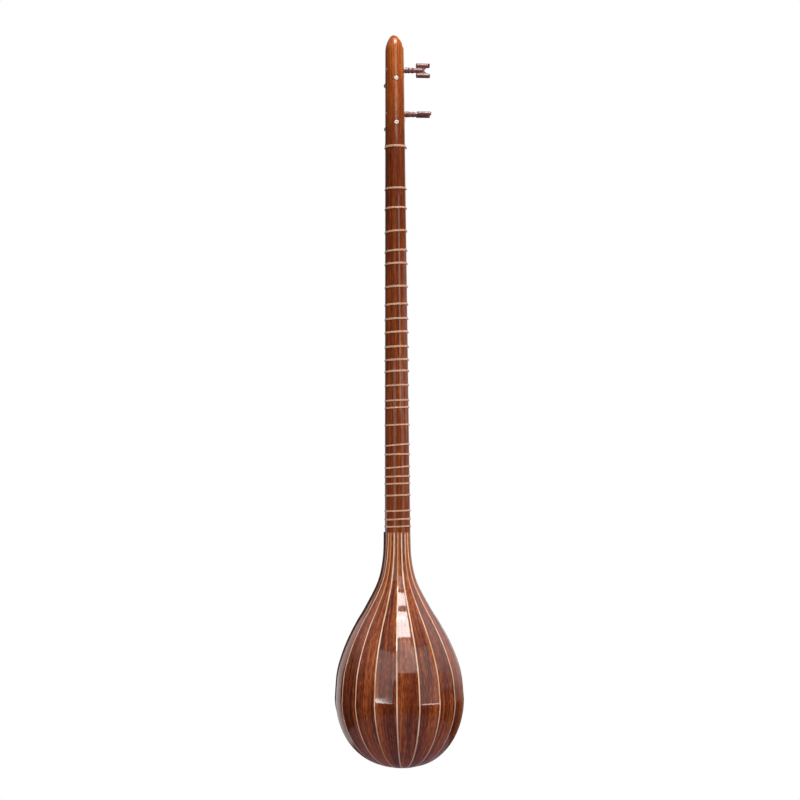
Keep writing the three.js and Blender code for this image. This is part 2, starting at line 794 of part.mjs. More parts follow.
// The string from its holder over the bridge and the nut to beside its peg's winding.
function stringPath(k) {
  const { gauge, peg: pegName } = strings[k];
  const { nut, bridge, holder } = stringPlaces(k);
  const peg = pegs.find(({ name }) => name === pegName);
  const reach = windingCornerRadius(gauge) + gauge + gap;
  const out = windingMiddle(gauge);
  const into = holder.clone().setZ(holder.z - holderHoleDepth + gap);
  const path = [into, holder, bridge, nut];
  if (peg.side) {
    const edgeZ = peg.z - sidePegDepth;
    const edgeX = -neckHalf(edgeZ) - 2 * gap;
    path.push(new THREE.Vector3(edgeX, -2 * gap, edgeZ));
    path.push(new THREE.Vector3(-neckHalf(peg.z) - out, sidePegDepth - reach, peg.z));
  } else {
    path.push(new THREE.Vector3(reach, -out, peg.z));
  }
  return path;
}

function addStrings() {
  strings.forEach(({ name, gauge, material }, k) => {
    addPiece(name, tube(stringPath(k), gauge / 2, 6, new THREE.Vector3(1, 0, 0)), material);
  });
}

// A notch or hole of square section that clears a string, between two depths and two heights.
function stringSlot(x, frontY, backY, lowZ, highZ, gauge, room = gap) {
  const half = gauge / 2 + room;
  return box(new THREE.Vector3(x - half, frontY, lowZ), new THREE.Vector3(x + half, backY, highZ));
}

function addNut() {
  const half = neckHalf(nutLowZ);
  const bar = box(
    new THREE.Vector3(-half, -nutHeight, nutLowZ),
    new THREE.Vector3(half, nutSlotDepth, nutLowZ + nutThickness),
  );
  const slots = strings.map(({ gauge }, k) => {
    const { nut } = stringPlaces(k);
    const floor = nut.y + gauge / 2 + gap;
    return stringSlot(nut.x, nut.y - overrun, floor, nutLowZ - overrun, nutLowZ + 2 * overrun, gauge);
  });
  addPiece("nut", cut(bar, ...slots), materials.bone);
}

// The bridge stands on two feet, with its top falling to both ends and a notch for each string.
function addBridge() {
  const [half, foot] = [bridgeLength / 2, bridgeLength / 2 - bridgeFootLength];
  const outline = new THREE.Shape();
  outline.moveTo(-half, gap);
  outline.lineTo(-foot, gap);
  outline.quadraticCurveTo(0, gap + 2 * bridgeArchHeight, foot, gap);
  outline.lineTo(half, gap);
  outline.lineTo(half, bridgeEndHeight);
  outline.quadraticCurveTo(half / 2, bridgeHeight, 0, bridgeHeight);
  outline.quadraticCurveTo(-half / 2, bridgeHeight, -half, bridgeEndHeight);
  const options = { depth: bridgeThickness, bevelEnabled: false, curveSegments: 8 };
  const body = new THREE.ExtrudeGeometry(outline, options).rotateZ(Math.PI);
  body.translate(0, 0, bridgeZ - bridgeThickness / 2);
  const slots = strings.map(({ gauge }, k) => {
    const { bridge } = stringPlaces(k);
    const [top, floor] = [bridge.y - overrun, bridge.y + gauge / 2 + bridgeNotchRoom];
    const [lowZ, highZ] = [bridgeZ - overrun, bridgeZ + overrun];
    return stringSlot(bridge.x, top, floor, lowZ, highZ, gauge, bridgeNotchRoom);
  });
  addPiece("bridge", cut(body, ...slots), materials.ebony);
}

function addStringHolder() {
  const half = holderLength / 2;
  const body = box(
    new THREE.Vector3(-half, -holderHeight, holderZ - holderThickness),
    new THREE.Vector3(half, -gap, holderZ),
  );
  const slots = strings.map(({ gauge }, k) => {
    const { holder } = stringPlaces(k);
    const [front, back] = [holder.y - gauge / 2 - gap, holder.y + gauge / 2 + gap];
    return stringSlot(holder.x, front, back, holderZ - holderHoleDepth, holderZ + overrun, gauge);
  });
  addPiece("string_holder", cut(body, ...slots), materials.bone);
}

addNeck();
addPegs(Object.fromEntries(strings.map(({ peg, gauge }) => [peg, gauge])));
addGutBands();
addRibs();
addPurfling();
addBlocks();
addSoundboard();
addStrings();
addNut();
addBridge();
addStringHolder();

export default setar;
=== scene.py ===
"""A setar, the long-necked Persian lute, dressed round its CAD model and seen from behind.

The bowl is eleven lacquered walnut staves with light lines between them. The neck carries tied
gut frets and four turning pegs. The soundboard, bridge and strings are on the far side. The frame
is the CAD model's: Z runs up the neck, the playing face is the plane Y = 0 and looks along -Y,
and the bowl bulges towards +Y. Sizes in the classes are in millimetres, meshes are in metres.
"""

import logging
import math
from collections.abc import Callable, Iterable, Sequence
from dataclasses import dataclass
from enum import Enum

import bmesh
import bpy
from bpy.types import ID, Material, Node, NodeSocket, NodeTree, Object
from mathutils import Euler, Matrix, Vector


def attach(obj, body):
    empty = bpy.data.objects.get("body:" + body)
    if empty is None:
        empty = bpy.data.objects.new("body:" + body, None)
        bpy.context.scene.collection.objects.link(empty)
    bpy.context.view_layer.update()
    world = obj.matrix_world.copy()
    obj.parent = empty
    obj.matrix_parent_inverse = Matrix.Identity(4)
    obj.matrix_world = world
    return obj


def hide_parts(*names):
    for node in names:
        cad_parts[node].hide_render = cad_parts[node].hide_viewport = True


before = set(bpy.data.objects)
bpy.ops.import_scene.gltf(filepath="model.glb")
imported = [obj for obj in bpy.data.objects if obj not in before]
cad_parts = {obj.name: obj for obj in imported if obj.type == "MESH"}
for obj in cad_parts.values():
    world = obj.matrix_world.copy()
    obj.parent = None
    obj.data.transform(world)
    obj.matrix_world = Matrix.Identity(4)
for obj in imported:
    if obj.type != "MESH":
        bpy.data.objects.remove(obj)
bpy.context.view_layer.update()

LOG = logging.getLogger("setar")
# A millimetre in metres, and in millimetres how near two points are merged and how far a cutter
# stands out of what it cuts.
MM = 0.001
DOUBLES = 0.002
CUT_MARGIN = 5.0
INSTRUMENT = "instrument"
UV_NAME = "UVMap"

Face = Sequence[int]
NodeInput = dict[str | int, object]
Source = Node | NodeSocket
Edge = Callable[[float], float]
Profile = Sequence[tuple[float, float]]


# Small helpers


def linear(colour: str) -> tuple[float, float, float, float]:
    """Turns an sRGB hex colour into linear RGBA.

    Args:
        colour: six hex digits.

    Returns:
        The linear red, green and blue, and an alpha of 1.
    """
    parts = [int(colour[i : i + 2], 16) / 255 for i in (0, 2, 4)]
    curved = [c / 12.92 if c <= 0.04045 else ((c + 0.055) / 1.055) ** 2.4 for c in parts]
    return (*curved, 1.0)


def mixed_hex(first: str, last: str) -> str:
    """Returns the hex colour halfway between two."""
    pairs = [(int(first[i : i + 2], 16), int(last[i : i + 2], 16)) for i in (0, 2, 4)]
    return "".join(f"{(a + b) // 2:02x}" for a, b in pairs)


def lerp(first: float, last: float, share: float) -> float:
    """Returns the value at a share of the way from first to last."""
    return first + (last - first) * share


def smoothstep(value: float, low: float, high: float) -> float:
    """Returns 0 below low, 1 above high, and a smooth rise between."""
    share = min(max((value - low) / (high - low), 0.0), 1.0)
    return share * share * (3 - 2 * share)


def add_node(
    tree: NodeTree, kind: str, inputs: NodeInput | None = None, **settings: object
) -> Node:
    """Adds a node with its settings and links.

    Args:
        tree: the tree that gets the node.
        kind: the node's type name.
        inputs: what each input gets, by name or number: a value, another node's output, another
            node for its first output, or a list of these where an input takes several.
        settings: the node's own properties.

    Returns:
        The new node.
    """
    node = tree.nodes.new(kind)
    for name, value in settings.items():
        setattr(node, name, value)
    for key, value in (inputs or {}).items():
        for source in value if isinstance(value, list) else [value]:
            if isinstance(source, Node):
                source = source.outputs[0]
            if isinstance(source, NodeSocket):
                tree.links.new(source, node.inputs[key])
            else:
                node.inputs[key].default_value = source
    return node


def link_object(name: str, data: ID) -> Object:
    """Makes an object and links it to the scene.

    Args:
        name: the object's name.
        data: its mesh, light or camera.

    Returns:
        The object.
    """
    made = bpy.data.objects.new(name, data)
    bpy.context.scene.collection.objects.link(made)
    return made


def mesh_object(
    name: str,
    points: Iterable[Vector],
    faces: Iterable[Face],
    edges: Iterable[Face] = (),
    uvs: Sequence[tuple[float, float]] | None = None,
) -> Object:
    """Makes a mesh object from points in millimetres.

    Args:
        name: the piece's name.
        points: corner points, in millimetres.
        faces: corner numbers of each face.
        edges: corner numbers of loose edges.
        uvs: a place on the wood for each point, in millimetres.

    Returns:
        The object, at the origin.
    """
    mesh = bpy.data.meshes.new(name)
    mesh.from_pydata([p * MM for p in points], list(edges), list(faces))
    if uvs is not None:
        layer = mesh.uv_layers.new(name=UV_NAME)
        for loop in mesh.loops:
            u, v = uvs[loop.vertex_index]
            layer.data[loop.index].uv = (u * MM, v * MM)
    return link_object(name, mesh)


def add_point_values(piece: Object, name: str, values: Sequence[float]) -> None:
    """Stores one number for each point of a mesh, for a geometry tree to read."""
    layer = piece.data.attributes.new(name, "FLOAT", "POINT")
    layer.data.foreach_set("value", list(values))


def keep_result(piece: Object) -> Object:
    """Turns what an object's modifiers make into its plain mesh, and removes the modifiers.

    Args:
        piece: the object.

    Returns:
        The same object.
    """
    graph = bpy.context.evaluated_depsgraph_get()
    graph.update()
    mesh = bpy.data.meshes.new_from_object(
        piece.evaluated_get(graph), preserve_all_data_layers=True, depsgraph=graph
    )
    piece.modifiers.clear()
    mesh.name = piece.name
    piece.data = mesh
    return piece


def stack_rings(rings: Sequence[Sequence[Vector]]) -> tuple[list[Vector], list[Face]]:
    """Joins equal rings of points into a closed body with a flat face over both ends.

    Args:
        rings: the rings, each with as many points as the next.

    Returns:
        The body's points, and the corner numbers of its faces.
    """
    size = len(rings[0])
    points = [p for ring in rings for p in ring]
    faces: list[Face] = [list(range(size))[::-1]]
    for row in range(len(rings) - 1):
        for k in range(size):
            a, b = row * size + k, row * size + (k + 1) % size
            faces.append((a, b, b + size, a + size))
    faces.append([(len(rings) - 1) * size + k for k in range(size)])
    return points, faces


def tidy_mesh(piece: Object, smooth_below: float = 40.0) -> Object:
    """Merges doubles, turns faces outwards and shades the piece smooth.

    Args:
        piece: the piece.
        smooth_below: the angle in degrees from which an edge stays sharp.

    Returns:
        The same piece.
    """
    work = bmesh.new()
    work.from_mesh(piece.data)
    bmesh.ops.remove_doubles(work, verts=work.verts, dist=DOUBLES * MM)
    bmesh.ops.recalc_face_normals(work, faces=work.faces)
    limit = math.radians(smooth_below)
    for face in work.faces:
        face.smooth = True
    for edge in work.edges:
        edge.smooth = len(edge.link_faces) == 2 and edge.calc_face_angle(0.0) < limit
    work.to_mesh(piece.data)
    work.free()
    return piece


# Finishes


class Grain(Enum):
    """Where a wood pattern takes its place from."""

    PIECE = "the piece's own axes, with the fibres along Z"
    SURFACE = "the piece's surface map, with the fibres along V"


@dataclass(frozen=True)
class Finish:
    """What every finish shares: a name and the shader's plain numbers."""

    name: str
    base: str
    roughness: float = 0.4
    ior: float = 1.5
    metallic: float = 0.0
    specular: float = 0.5
    coat: float = 0.0
    coat_roughness: float = 0.05

    def build(self) -> Material:
        """Builds the material, once for all the pieces that wear it.

        Returns:
            The material.
        """
        made = bpy.data.materials.get(self.name)
        if made:
            return made
        made = bpy.data.materials.new(self.name)
        made.use_nodes = True
        made.diffuse_color = linear(self.base)
        tree = made.node_tree
        tree.nodes.clear()
        shader = add_node(
            tree,
            "ShaderNodeBsdfPrincipled",
            {
                "Base Color": linear(self.base),
                "Roughness": self.roughness,
                "IOR": self.ior,
                "Metallic": self.metallic,
                "Specular IOR Level": self.specular,
                "Coat Weight": self.coat,
                "Coat Roughness": self.coat_roughness,
            },
        )
        add_node(tree, "ShaderNodeOutputMaterial", {"Surface": shader})
        self.detail(tree, shader)
        return made

    def detail(self, tree: NodeTree, shader: Node) -> None:
        """Adds the finish's pattern to its shader."""


@dataclass(frozen=True)
class Wood(Finish):
    """Wood under lacquer or oil: broad stripes, fine fibres and short dark pores.

    A pattern's width lies across the fibres and its length along them, in millimetres. Its share
    is how far it lightens and darkens the wood. Real fibres and pores are about 0.1 mm wide, too
    fine to show in a picture of the whole instrument, so they are drawn three to ten times as
    coarse.
    """

    dark: str = "3c1c0c"
    light: str = "8a4a24"
    grain: Grain = Grain.PIECE
    stripe: float = 3.2
    stripe_length: float = 130.0
    stripe_share: float = 0.8
    fibre: float = 0.55
    fibre_length: float = 24.0
    fibre_share: float = 0.45
    pore: float = 0.3
    pore_length: float = 3.0
    pore_share: float = 0.35
    pore_floor: float = 0.32
    pore_brim: float = 0.42
    tone: float = 60.0
    tone_share: float = 0.3
    mottle: float = 5.0
    mottle_length: float = 9.0
    mottle_share: float = 0.3
    tone_stretch: float = 6.0
    noise_roughness: float = 0.55
    wander: float = 2.0
    bend: float = 30.0
    bend_length: float = 45.0
    # The head's colours and the heights over which they take over: a warmer tone, partly painted
    # light from above.
    lit_head_dark: str = ""
    lit_head_light: str = ""
    lit_head_from: float = -34.0
    lit_head_to: float = 96.0
    edge_line: float = 0.0
    edge_from: float = 0.9
    second_base: str = ""
    peel: float = 2.4
    peel_depth: float = 0.01
    fibre_depth: float = 0.01
    coat_texture: float = 0.004

    def pattern(
        self,
        tree: NodeTree,
        place: NodeSocket,
        width: float,
        length: float,
        detail: float,
    ) -> NodeSocket:
        """Adds a noise stretched along the fibres.

        Args:
            tree: the material's tree.
            place: where on the wood a point lies, in metres.
            width: the pattern's size across the fibres, in millimetres.
            length: its size along them, in millimetres.
            detail: how many finer layers it has.

        Returns:
            The noise's value socket.
        """
        across, along = 1 / (width * MM), 1 / (length * MM)
        scale = (across, across, along) if self.grain is Grain.PIECE else (across, along, 1.0)
        mapped = add_node(tree, "ShaderNodeMapping", {"Vector": place, "Scale": scale})
        noise = add_node(
            tree,
            "ShaderNodeTexNoise",
            {
                "Vector": mapped,
                "Scale": 1.0,
                "Detail": detail,
                "Roughness": self.noise_roughness,
            },
        )
        return noise.outputs[0]

    def detail(self, tree: NodeTree, shader: Node) -> None:
        """Adds the wood's figure and the lacquer's slight ripple.

        Args:
            tree: the material's tree.
            shader: the shader that gets them.
        """
        own = add_node(tree, "ShaderNodeTexCoord").outputs["Object"]
        place = own
        if self.grain is Grain.SURFACE:
            place = add_node(tree, "ShaderNodeUVMap", uv_map=UV_NAME).outputs[0]
        place = self.wandering(tree, place)
        fibres = self.pattern(tree, place, self.fibre, self.fibre_length, 3.0)
        colour = self.coloured(tree, self.streaked(tree, place, fibres), place, own)
        tree.links.new(colour, shader.inputs["Base Color"])
        ripple = add_node(
            tree,
            "ShaderNodeTexNoise",
            {"Vector": own, "Scale": 1 / (self.peel * MM), "Detail": 1.0},
        )
        peel = add_node(
            tree,
            "ShaderNodeBump",
            {"Height": ripple, "Distance": self.peel_depth * MM, "Strength": 1.0},
        )
        for name, depth in (("Coat Normal", self.coat_texture), ("Normal", self.fibre_depth)):
            relief = add_node(
                tree,
                "ShaderNodeBump",
                {"Height": fibres, "Distance": depth * MM, "Strength": 1.0, "Normal": peel},
            )
            tree.links.new(relief.outputs[0], shader.inputs[name])

    def wandering(self, tree: NodeTree, place: NodeSocket) -> NodeSocket:
        """Bends the fibres gently to either side, as a tree grows.

        Args:
            tree: the material's tree.
            place: where on the wood a point lies, in metres.

        Returns:
            The bent place's socket.
        """
        slow = self.pattern(tree, place, self.bend, self.bend_length, 1.0)
        off = add_node(
            tree,
            "ShaderNodeMapRange",
            {"Value": slow, "To Min": -self.wander * MM, "To Max": self.wander * MM},
        )
        move = add_node(tree, "ShaderNodeCombineXYZ", {0: off})
        bent = add_node(tree, "ShaderNodeVectorMath", {0: place, 1: move}, operation="ADD")
        return bent.outputs[0]

    def streaked(self, tree: NodeTree, place: NodeSocket, fibres: NodeSocket) -> Source:
        """Adds up stripes, mottles, slow changes of tone and fibres.

        Args:
            tree: the material's tree.
            place: where on the wood a point lies, in metres.
            fibres: the fibres' pattern.

        Returns:
            How light the wood is, from 0 to 1.
        """
        stripes = self.pattern(tree, place, self.stripe, self.stripe_length, 3.0)
        mottles = self.pattern(tree, place, self.mottle, self.mottle_length, 2.0)
        tones = self.pattern(tree, place, self.tone, self.tone_stretch * self.tone, 0.0)
        total: Source | float = 0.5
        for value, spread, share in (
            (stripes, 0.14, self.stripe_share),
            (mottles, 0.2, self.mottle_share),
            (tones, 0.15, self.tone_share),
            (fibres, 0.2, self.fibre_share),
        ):
            ranged = add_node(
                tree,
                "ShaderNodeMapRange",
                {
                    "Value": value,
                    "From Min": 0.5 - spread,
                    "From Max": 0.5 + spread,
                    "To Min": -share / 2,
                    "To Max": share / 2,
                },
            )
            total = add_node(tree, "ShaderNodeMath", {0: total, 1: ranged}, operation="ADD")
        return total

    def coloured(
        self, tree: NodeTree, total: Source, place: NodeSocket, own: NodeSocket
    ) -> NodeSocket:
        """Colours the wood, with its other tint, its warmer head partly painted as lit from above,
        its pores and its edge line.

        Args:
            tree: the material's tree.
            total: how light the wood is, from 0 to 1.
            place: where on the wood a point lies, in metres.
            own: the same in the piece's own axes.

        Returns:
            The colour's socket.
        """
        shades = [(self.dark, self.base, self.light)]
        masks: list[Source] = []
        if self.second_base:
            shades.append((self.dark, self.second_base, self.base))
            tint = add_node(tree, "ShaderNodeAttribute", attribute_name="tint")
            masks.append(tint.outputs["Fac"])
        # Warmer and lighter with height towards the head: partly the wood's tone, partly painted
        # light from above.
        if self.lit_head_dark:
            middle = mixed_hex(self.lit_head_dark, self.lit_head_light)
            shades.append((self.lit_head_dark, middle, self.lit_head_light))
            height = add_node(tree, "ShaderNodeSeparateXYZ", {0: own}).outputs[2]
            low, high = self.lit_head_from * MM, self.lit_head_to * MM
            up = {"Value": height, "From Min": low, "From Max": high}
            masks.append(add_node(tree, "ShaderNodeMapRange", up))
        ramps: list[Source] = []
        for dark, middle, light in shades:
            ramp = add_node(tree, "ShaderNodeValToRGB", {"Fac": total})
            stops = ramp.color_ramp.elements
            stops[0].color, stops[1].color = linear(dark), linear(light)
            stops.new(0.5).color = linear(middle)
            ramps.append(ramp)
        layers: list[tuple[Source, object]] = list(zip(masks, ramps[1:]))
        pores = self.pattern(tree, place, self.pore, self.pore_length, 1.0)
        sunk = {
            "Value": pores,
            "From Min": self.pore_floor,
            "From Max": self.pore_brim,
            "To Min": self.pore_share,
            "To Max": 0.0,
        }
        layers.append((add_node(tree, "ShaderNodeMapRange", sunk), linear(self.dark)))
        if self.edge_line:
            across = add_node(tree, "ShaderNodeAttribute", attribute_name="across")
            out = add_node(tree, "ShaderNodeMath", {0: across.outputs["Fac"]}, operation="ABSOLUTE")
            edge = {"Value": out, "From Min": self.edge_from, "To Max": self.edge_line}
            layers.append((add_node(tree, "ShaderNodeMapRange", edge), linear(self.dark)))
        colour = ramps[0].outputs[0]
        for share, over in layers:
            mixed = add_node(
                tree, "ShaderNodeMix", {0: share, 6: colour, 7: over}, data_type="RGBA"
            )
            colour = mixed.outputs[2]
        return colour


@dataclass(frozen=True)
class Mottled(Finish):
    """Bone, gut or wire: a soft, fine variation of colour with a shallow texture.

    The spots are as coarse as they need to be to show: the real twist of the gut and the
    drawing marks of the wire are finer.
    """

    other: str = "cbb99a"
    spot: float = 1.2
    stretch: float = 1.0
    depth: float = 0.01

    def detail(self, tree: NodeTree, shader: Node) -> None:
        """Adds the speckle and its relief.

        Args:
            tree: the material's tree.
            shader: the shader that gets them.
        """
        coords = add_node(tree, "ShaderNodeTexCoord")
        fine = 1 / (self.spot * MM)
        mapped = add_node(
            tree,
            "ShaderNodeMapping",
            {"Vector": coords.outputs["Object"], "Scale": (fine, fine, fine / self.stretch)},
        )
        speckle = {"Vector": mapped, "Scale": 1.0, "Detail": 3.0}
        noise = add_node(tree, "ShaderNodeTexNoise", speckle)
        mixed = add_node(
            tree,
            "ShaderNodeMix",
            {0: noise, 6: linear(self.base), 7: linear(self.other)},
            data_type="RGBA",
        )
        tree.links.new(mixed.outputs[2], shader.inputs["Base Color"])
        shallow = {"Height": noise, "Distance": self.depth * MM, "Strength": 1.0}
        relief = add_node(tree, "ShaderNodeBump", shallow)
        tree.links.new(relief.outputs[0], shader.inputs["Normal"])


# Walnut or a like red-brown wood for the neck, planed, sanded and sprayed with gloss lacquer:
# long narrow streaks, and a warmer, lighter head: partly the wood's tone, partly painted light from
# above.
NECK_WOOD = Wood(
    "neck_wood_gloss_lacquer", "6e2c08", roughness=0.5, specular=0.1, coat=1.0, coat_roughness=0.08,
    dark="481603", light="944913", stripe=2.0, stripe_length=90.0, stripe_share=0.5,
    fibre=1.0, fibre_length=9.0, fibre_share=0.5, mottle_share=0.1, tone_share=0.2,
    lit_head_dark="8c3604", lit_head_light="cc7024",
)
# Walnut staves under polished lacquer: red-brown stripes along each stave, mottled across, with
# pores and a thin dark glue line at each edge.
STAVE_WOOD = Wood(
    "walnut_stave_gloss_lacquer", "7b3413", roughness=0.5, specular=0.1, coat=1.0,
    coat_roughness=0.06, dark="3e1408", light="b0602c", grain=Grain.SURFACE, stripe=2.2,
    stripe_length=110.0, stripe_share=0.6, fibre=0.65, fibre_length=8.0, fibre_share=0.75,
    tone=24.0, tone_share=0.5, mottle_share=0.2, pore_share=0.5, edge_line=0.6, wander=1.0,
    peel_depth=0.006, coat_texture=0.0008,
)
# Light maple lines let in flush between the staves, toned by the same lacquer. Every other line
# is warmer near the neck.
LINE_WOOD = Wood(
    "maple_line_gloss_lacquer", "e3b797", roughness=0.5, specular=0.1, coat=1.0,
    coat_roughness=0.08, dark="c08a5c", light="f6dcc2", grain=Grain.SURFACE, stripe=6.0,
    stripe_length=60.0, stripe_share=0.5, fibre_share=0.3, pore_share=0.1, tone=30.0,
    second_base="cc8450",
)
# Quarter-sawn mulberry for the soundboard: straight, close lines under thin satin varnish.
BOARD_WOOD = Wood(
    "mulberry_satin_varnish", "b5793c", roughness=0.45, coat=0.35, coat_roughness=0.25,
    dark="8a5526", light="d29a58", stripe=1.5, stripe_length=240.0, stripe_share=0.8,
    fibre=0.4, tone=40.0,
)
# Ebony, scraped and polished: almost black, with a trace of brown streaks.
EBONY = Wood(
    "ebony_polished", "2b1a1b", roughness=0.35, coat=0.6, coat_roughness=0.1,
    dark="170e10", light="45292a", stripe=1.8, stripe_length=60.0, pore_share=0.2,
)
# Bare spruce blocks inside the bowl.
BLOCK_WOOD = Wood(
    "spruce_bare", "c8a574", roughness=0.75, dark="a67f4c", light="dcc193", stripe=1.6,
    stripe_length=120.0, stripe_share=0.7, peel_depth=0.0,
)
# Turned and carved jujube wood for the pegs, rubbed to a soft polish.
PEG_WOOD = Wood(
    "jujube_wood_polished", "7a463e", roughness=0.4, specular=0.2, coat=1.0, coat_roughness=0.14,
    dark="4c2624", light="a8705f", grain=Grain.SURFACE, stripe=1.8, stripe_length=16.0,
    stripe_share=0.4, fibre=0.5, fibre_length=5.0, fibre_share=0.2, tone=12.0, mottle_share=0.1,
    pore_share=0.15, wander=0.5, peel_depth=0.003,
)
# Camel bone, sawn and polished: warm white with faint specks.
BONE = Mottled("bone_polished", "dfd1c3", roughness=0.3, coat=0.3, other="c3b1a0", spot=0.8)
# Twisted sheep gut, dry and matt: pinkish tan, with brownish lengths.
GUT = Mottled("gut_thread", "dfb89e", roughness=0.5, ior=1.45, other="c4916f", spot=1.4, depth=0.03)
# Drawn wire: a bright metal with fine drawing marks along it.
STEEL = Mottled(
    "steel_wire_drawn", "a4a6ab", roughness=0.34, metallic=1.0,
    other="7f8287", spot=0.3, stretch=8.0,
)
BRASS = Mottled(
    "brass_wire_drawn", "b08c58", roughness=0.36, metallic=1.0,
    other="86683e", spot=0.3, stretch=8.0,
)


@dataclass(frozen=True)
class StageFloor(Finish):
    """A matt floor that looks nearly white itself and gives off a weaker, coloured light."""

    seen: str = "efedef"

    def detail(self, tree: NodeTree, shader: Node) -> None:
        """Gives rays from the camera the pale colour, and all others the base.

        Args:
            tree: the material's tree.
            shader: the shader that gets it.
        """
        path = add_node(tree, "ShaderNodeLightPath")
        mixed = add_node(
            tree,
            "ShaderNodeMix",
            {0: path.outputs["Is Camera Ray"], 6: linear(self.base), 7: linear(self.seen)},
            data_type="RGBA",
        )
        tree.links.new(mixed.outputs[2], shader.inputs["Base Color"])


# Matt paint on the floor of the photo room, which the lacquer mirrors as a dull purple.
PALE_FLOOR = StageFloor("pale_floor_matt_paint", "8c7b89", roughness=0.9, specular=0.1)


# Geometry trees


class GeometryTree:
    """A geometry node tree with named sizes that always ends in real, dressed geometry."""

    def __init__(self, name: str, sizes: dict[str, str]) -> None:
        """Makes the tree's sockets.

        Args:
            name: the tree's name.
            sizes: the kind of each named input: Float, Int or Vector.
        """
        self.tree = bpy.data.node_groups.new(name, "GeometryNodeTree")
        face = self.tree.interface
        face.new_socket("Geometry", in_out="INPUT", socket_type="NodeSocketGeometry")
        face.new_socket("Geometry", in_out="OUTPUT", socket_type="NodeSocketGeometry")
        kinds = {**sizes, "Material": "Material"}
        self.sockets = {
            key: face.new_socket(key, in_out="INPUT", socket_type=f"NodeSocket{kind}").identifier
            for key, kind in kinds.items()
        }
        self.start = self.add("NodeGroupInput").outputs

    def add(self, kind: str, inputs: NodeInput | None = None, **settings: object) -> Node:
        """Adds a node to the tree."""
        return add_node(self.tree, kind, inputs, **settings)

    def end(self, geometry: Node, smooth_below: float = 40.0) -> None:
        """Makes instances real, shades them and sets the material.

        Args:
            geometry: what the tree has made.
            smooth_below: the angle in degrees from which an edge stays sharp.
        """
        real = self.add("GeometryNodeRealizeInstances", {0: geometry})
        turn = self.add("GeometryNodeInputMeshEdgeAngle")
        limit = math.radians(smooth_below)
        flat = self.add("FunctionNodeCompare", {0: turn, 1: limit}, operation="LESS_THAN")
        shaded = self.add("GeometryNodeSetShadeSmooth", {0: real, 2: True}, domain="FACE")
        edged = self.add("GeometryNodeSetShadeSmooth", {0: shaded, 2: flat}, domain="EDGE")
        dressed = self.add("GeometryNodeSetMaterial", {0: edged, 2: self.start["Material"]})
        self.add("NodeGroupOutput", {0: dressed})

    def run(self, piece: Object, finish: Finish, **sizes: object) -> Object:
        """Runs the tree on an object and keeps the result as its plain mesh.

        Args:
            piece: the object whose mesh goes in.
            finish: what the result is dressed in.
            sizes: a value for each named input, with its spaces as underscores.

        Returns:
            The same object.
        """
        step = piece.modifiers.new(self.tree.name, "NODES")
        step.node_group = self.tree
        for key, identifier in self.sockets.items():
            step[identifier] = finish.build() if key == "Material" else sizes[key.replace(" ", "_")]
        return keep_result(piece)


def shell_tree() -> GeometryTree:
    """A tree that gives an open patch a slightly flattened face and a thickness.

    Returns:
        The tree, which reads the point values across (-1 to 1) and sagitta (metres).
    """
    made = GeometryTree("stave", {"Thickness": "Float", "Flatness": "Float"})
    across = made.add("GeometryNodeInputNamedAttribute", {0: "across"}, data_type="FLOAT")
    sagitta = made.add("GeometryNodeInputNamedAttribute", {0: "sagitta"}, data_type="FLOAT")
    square = made.add("ShaderNodeMath", {0: across, 1: 2.0}, operation="POWER")
    middle = made.add("ShaderNodeMath", {0: 1.0, 1: square}, operation="SUBTRACT")
    dip = made.add("ShaderNodeMath", {0: middle, 1: sagitta}, operation="MULTIPLY")
    dip = made.add("ShaderNodeMath", {0: dip, 1: made.start["Flatness"]}, operation="MULTIPLY")
    down = made.add("ShaderNodeMath", {0: dip, 1: -1.0}, operation="MULTIPLY")
    normal = made.add("GeometryNodeInputNormal")
    move = made.add("ShaderNodeVectorMath", {0: normal, "Scale": down}, operation="SCALE")
    outer = made.add("GeometryNodeSetPosition", {0: made.start[0], "Offset": move})
    depth = made.add("ShaderNodeMath", {0: made.start["Thickness"], 1: -1.0}, operation="MULTIPLY")
    sunk = made.add("ShaderNodeVectorMath", {0: normal, "Scale": depth}, operation="SCALE")
    inner = made.add(
        "GeometryNodeExtrudeMesh",
        {"Mesh": outer, "Offset": sunk, "Offset Scale": 1.0, "Individual": False},
        mode="FACES",
    )
    turned = made.add("GeometryNodeFlipFaces", {0: inner})
    both = made.add("GeometryNodeJoinGeometry", {0: [turned, outer]})
    closed = made.add("GeometryNodeMergeByDistance", {0: both, "Distance": 0.001 * MM})
    made.end(closed, 50.0)
    return made


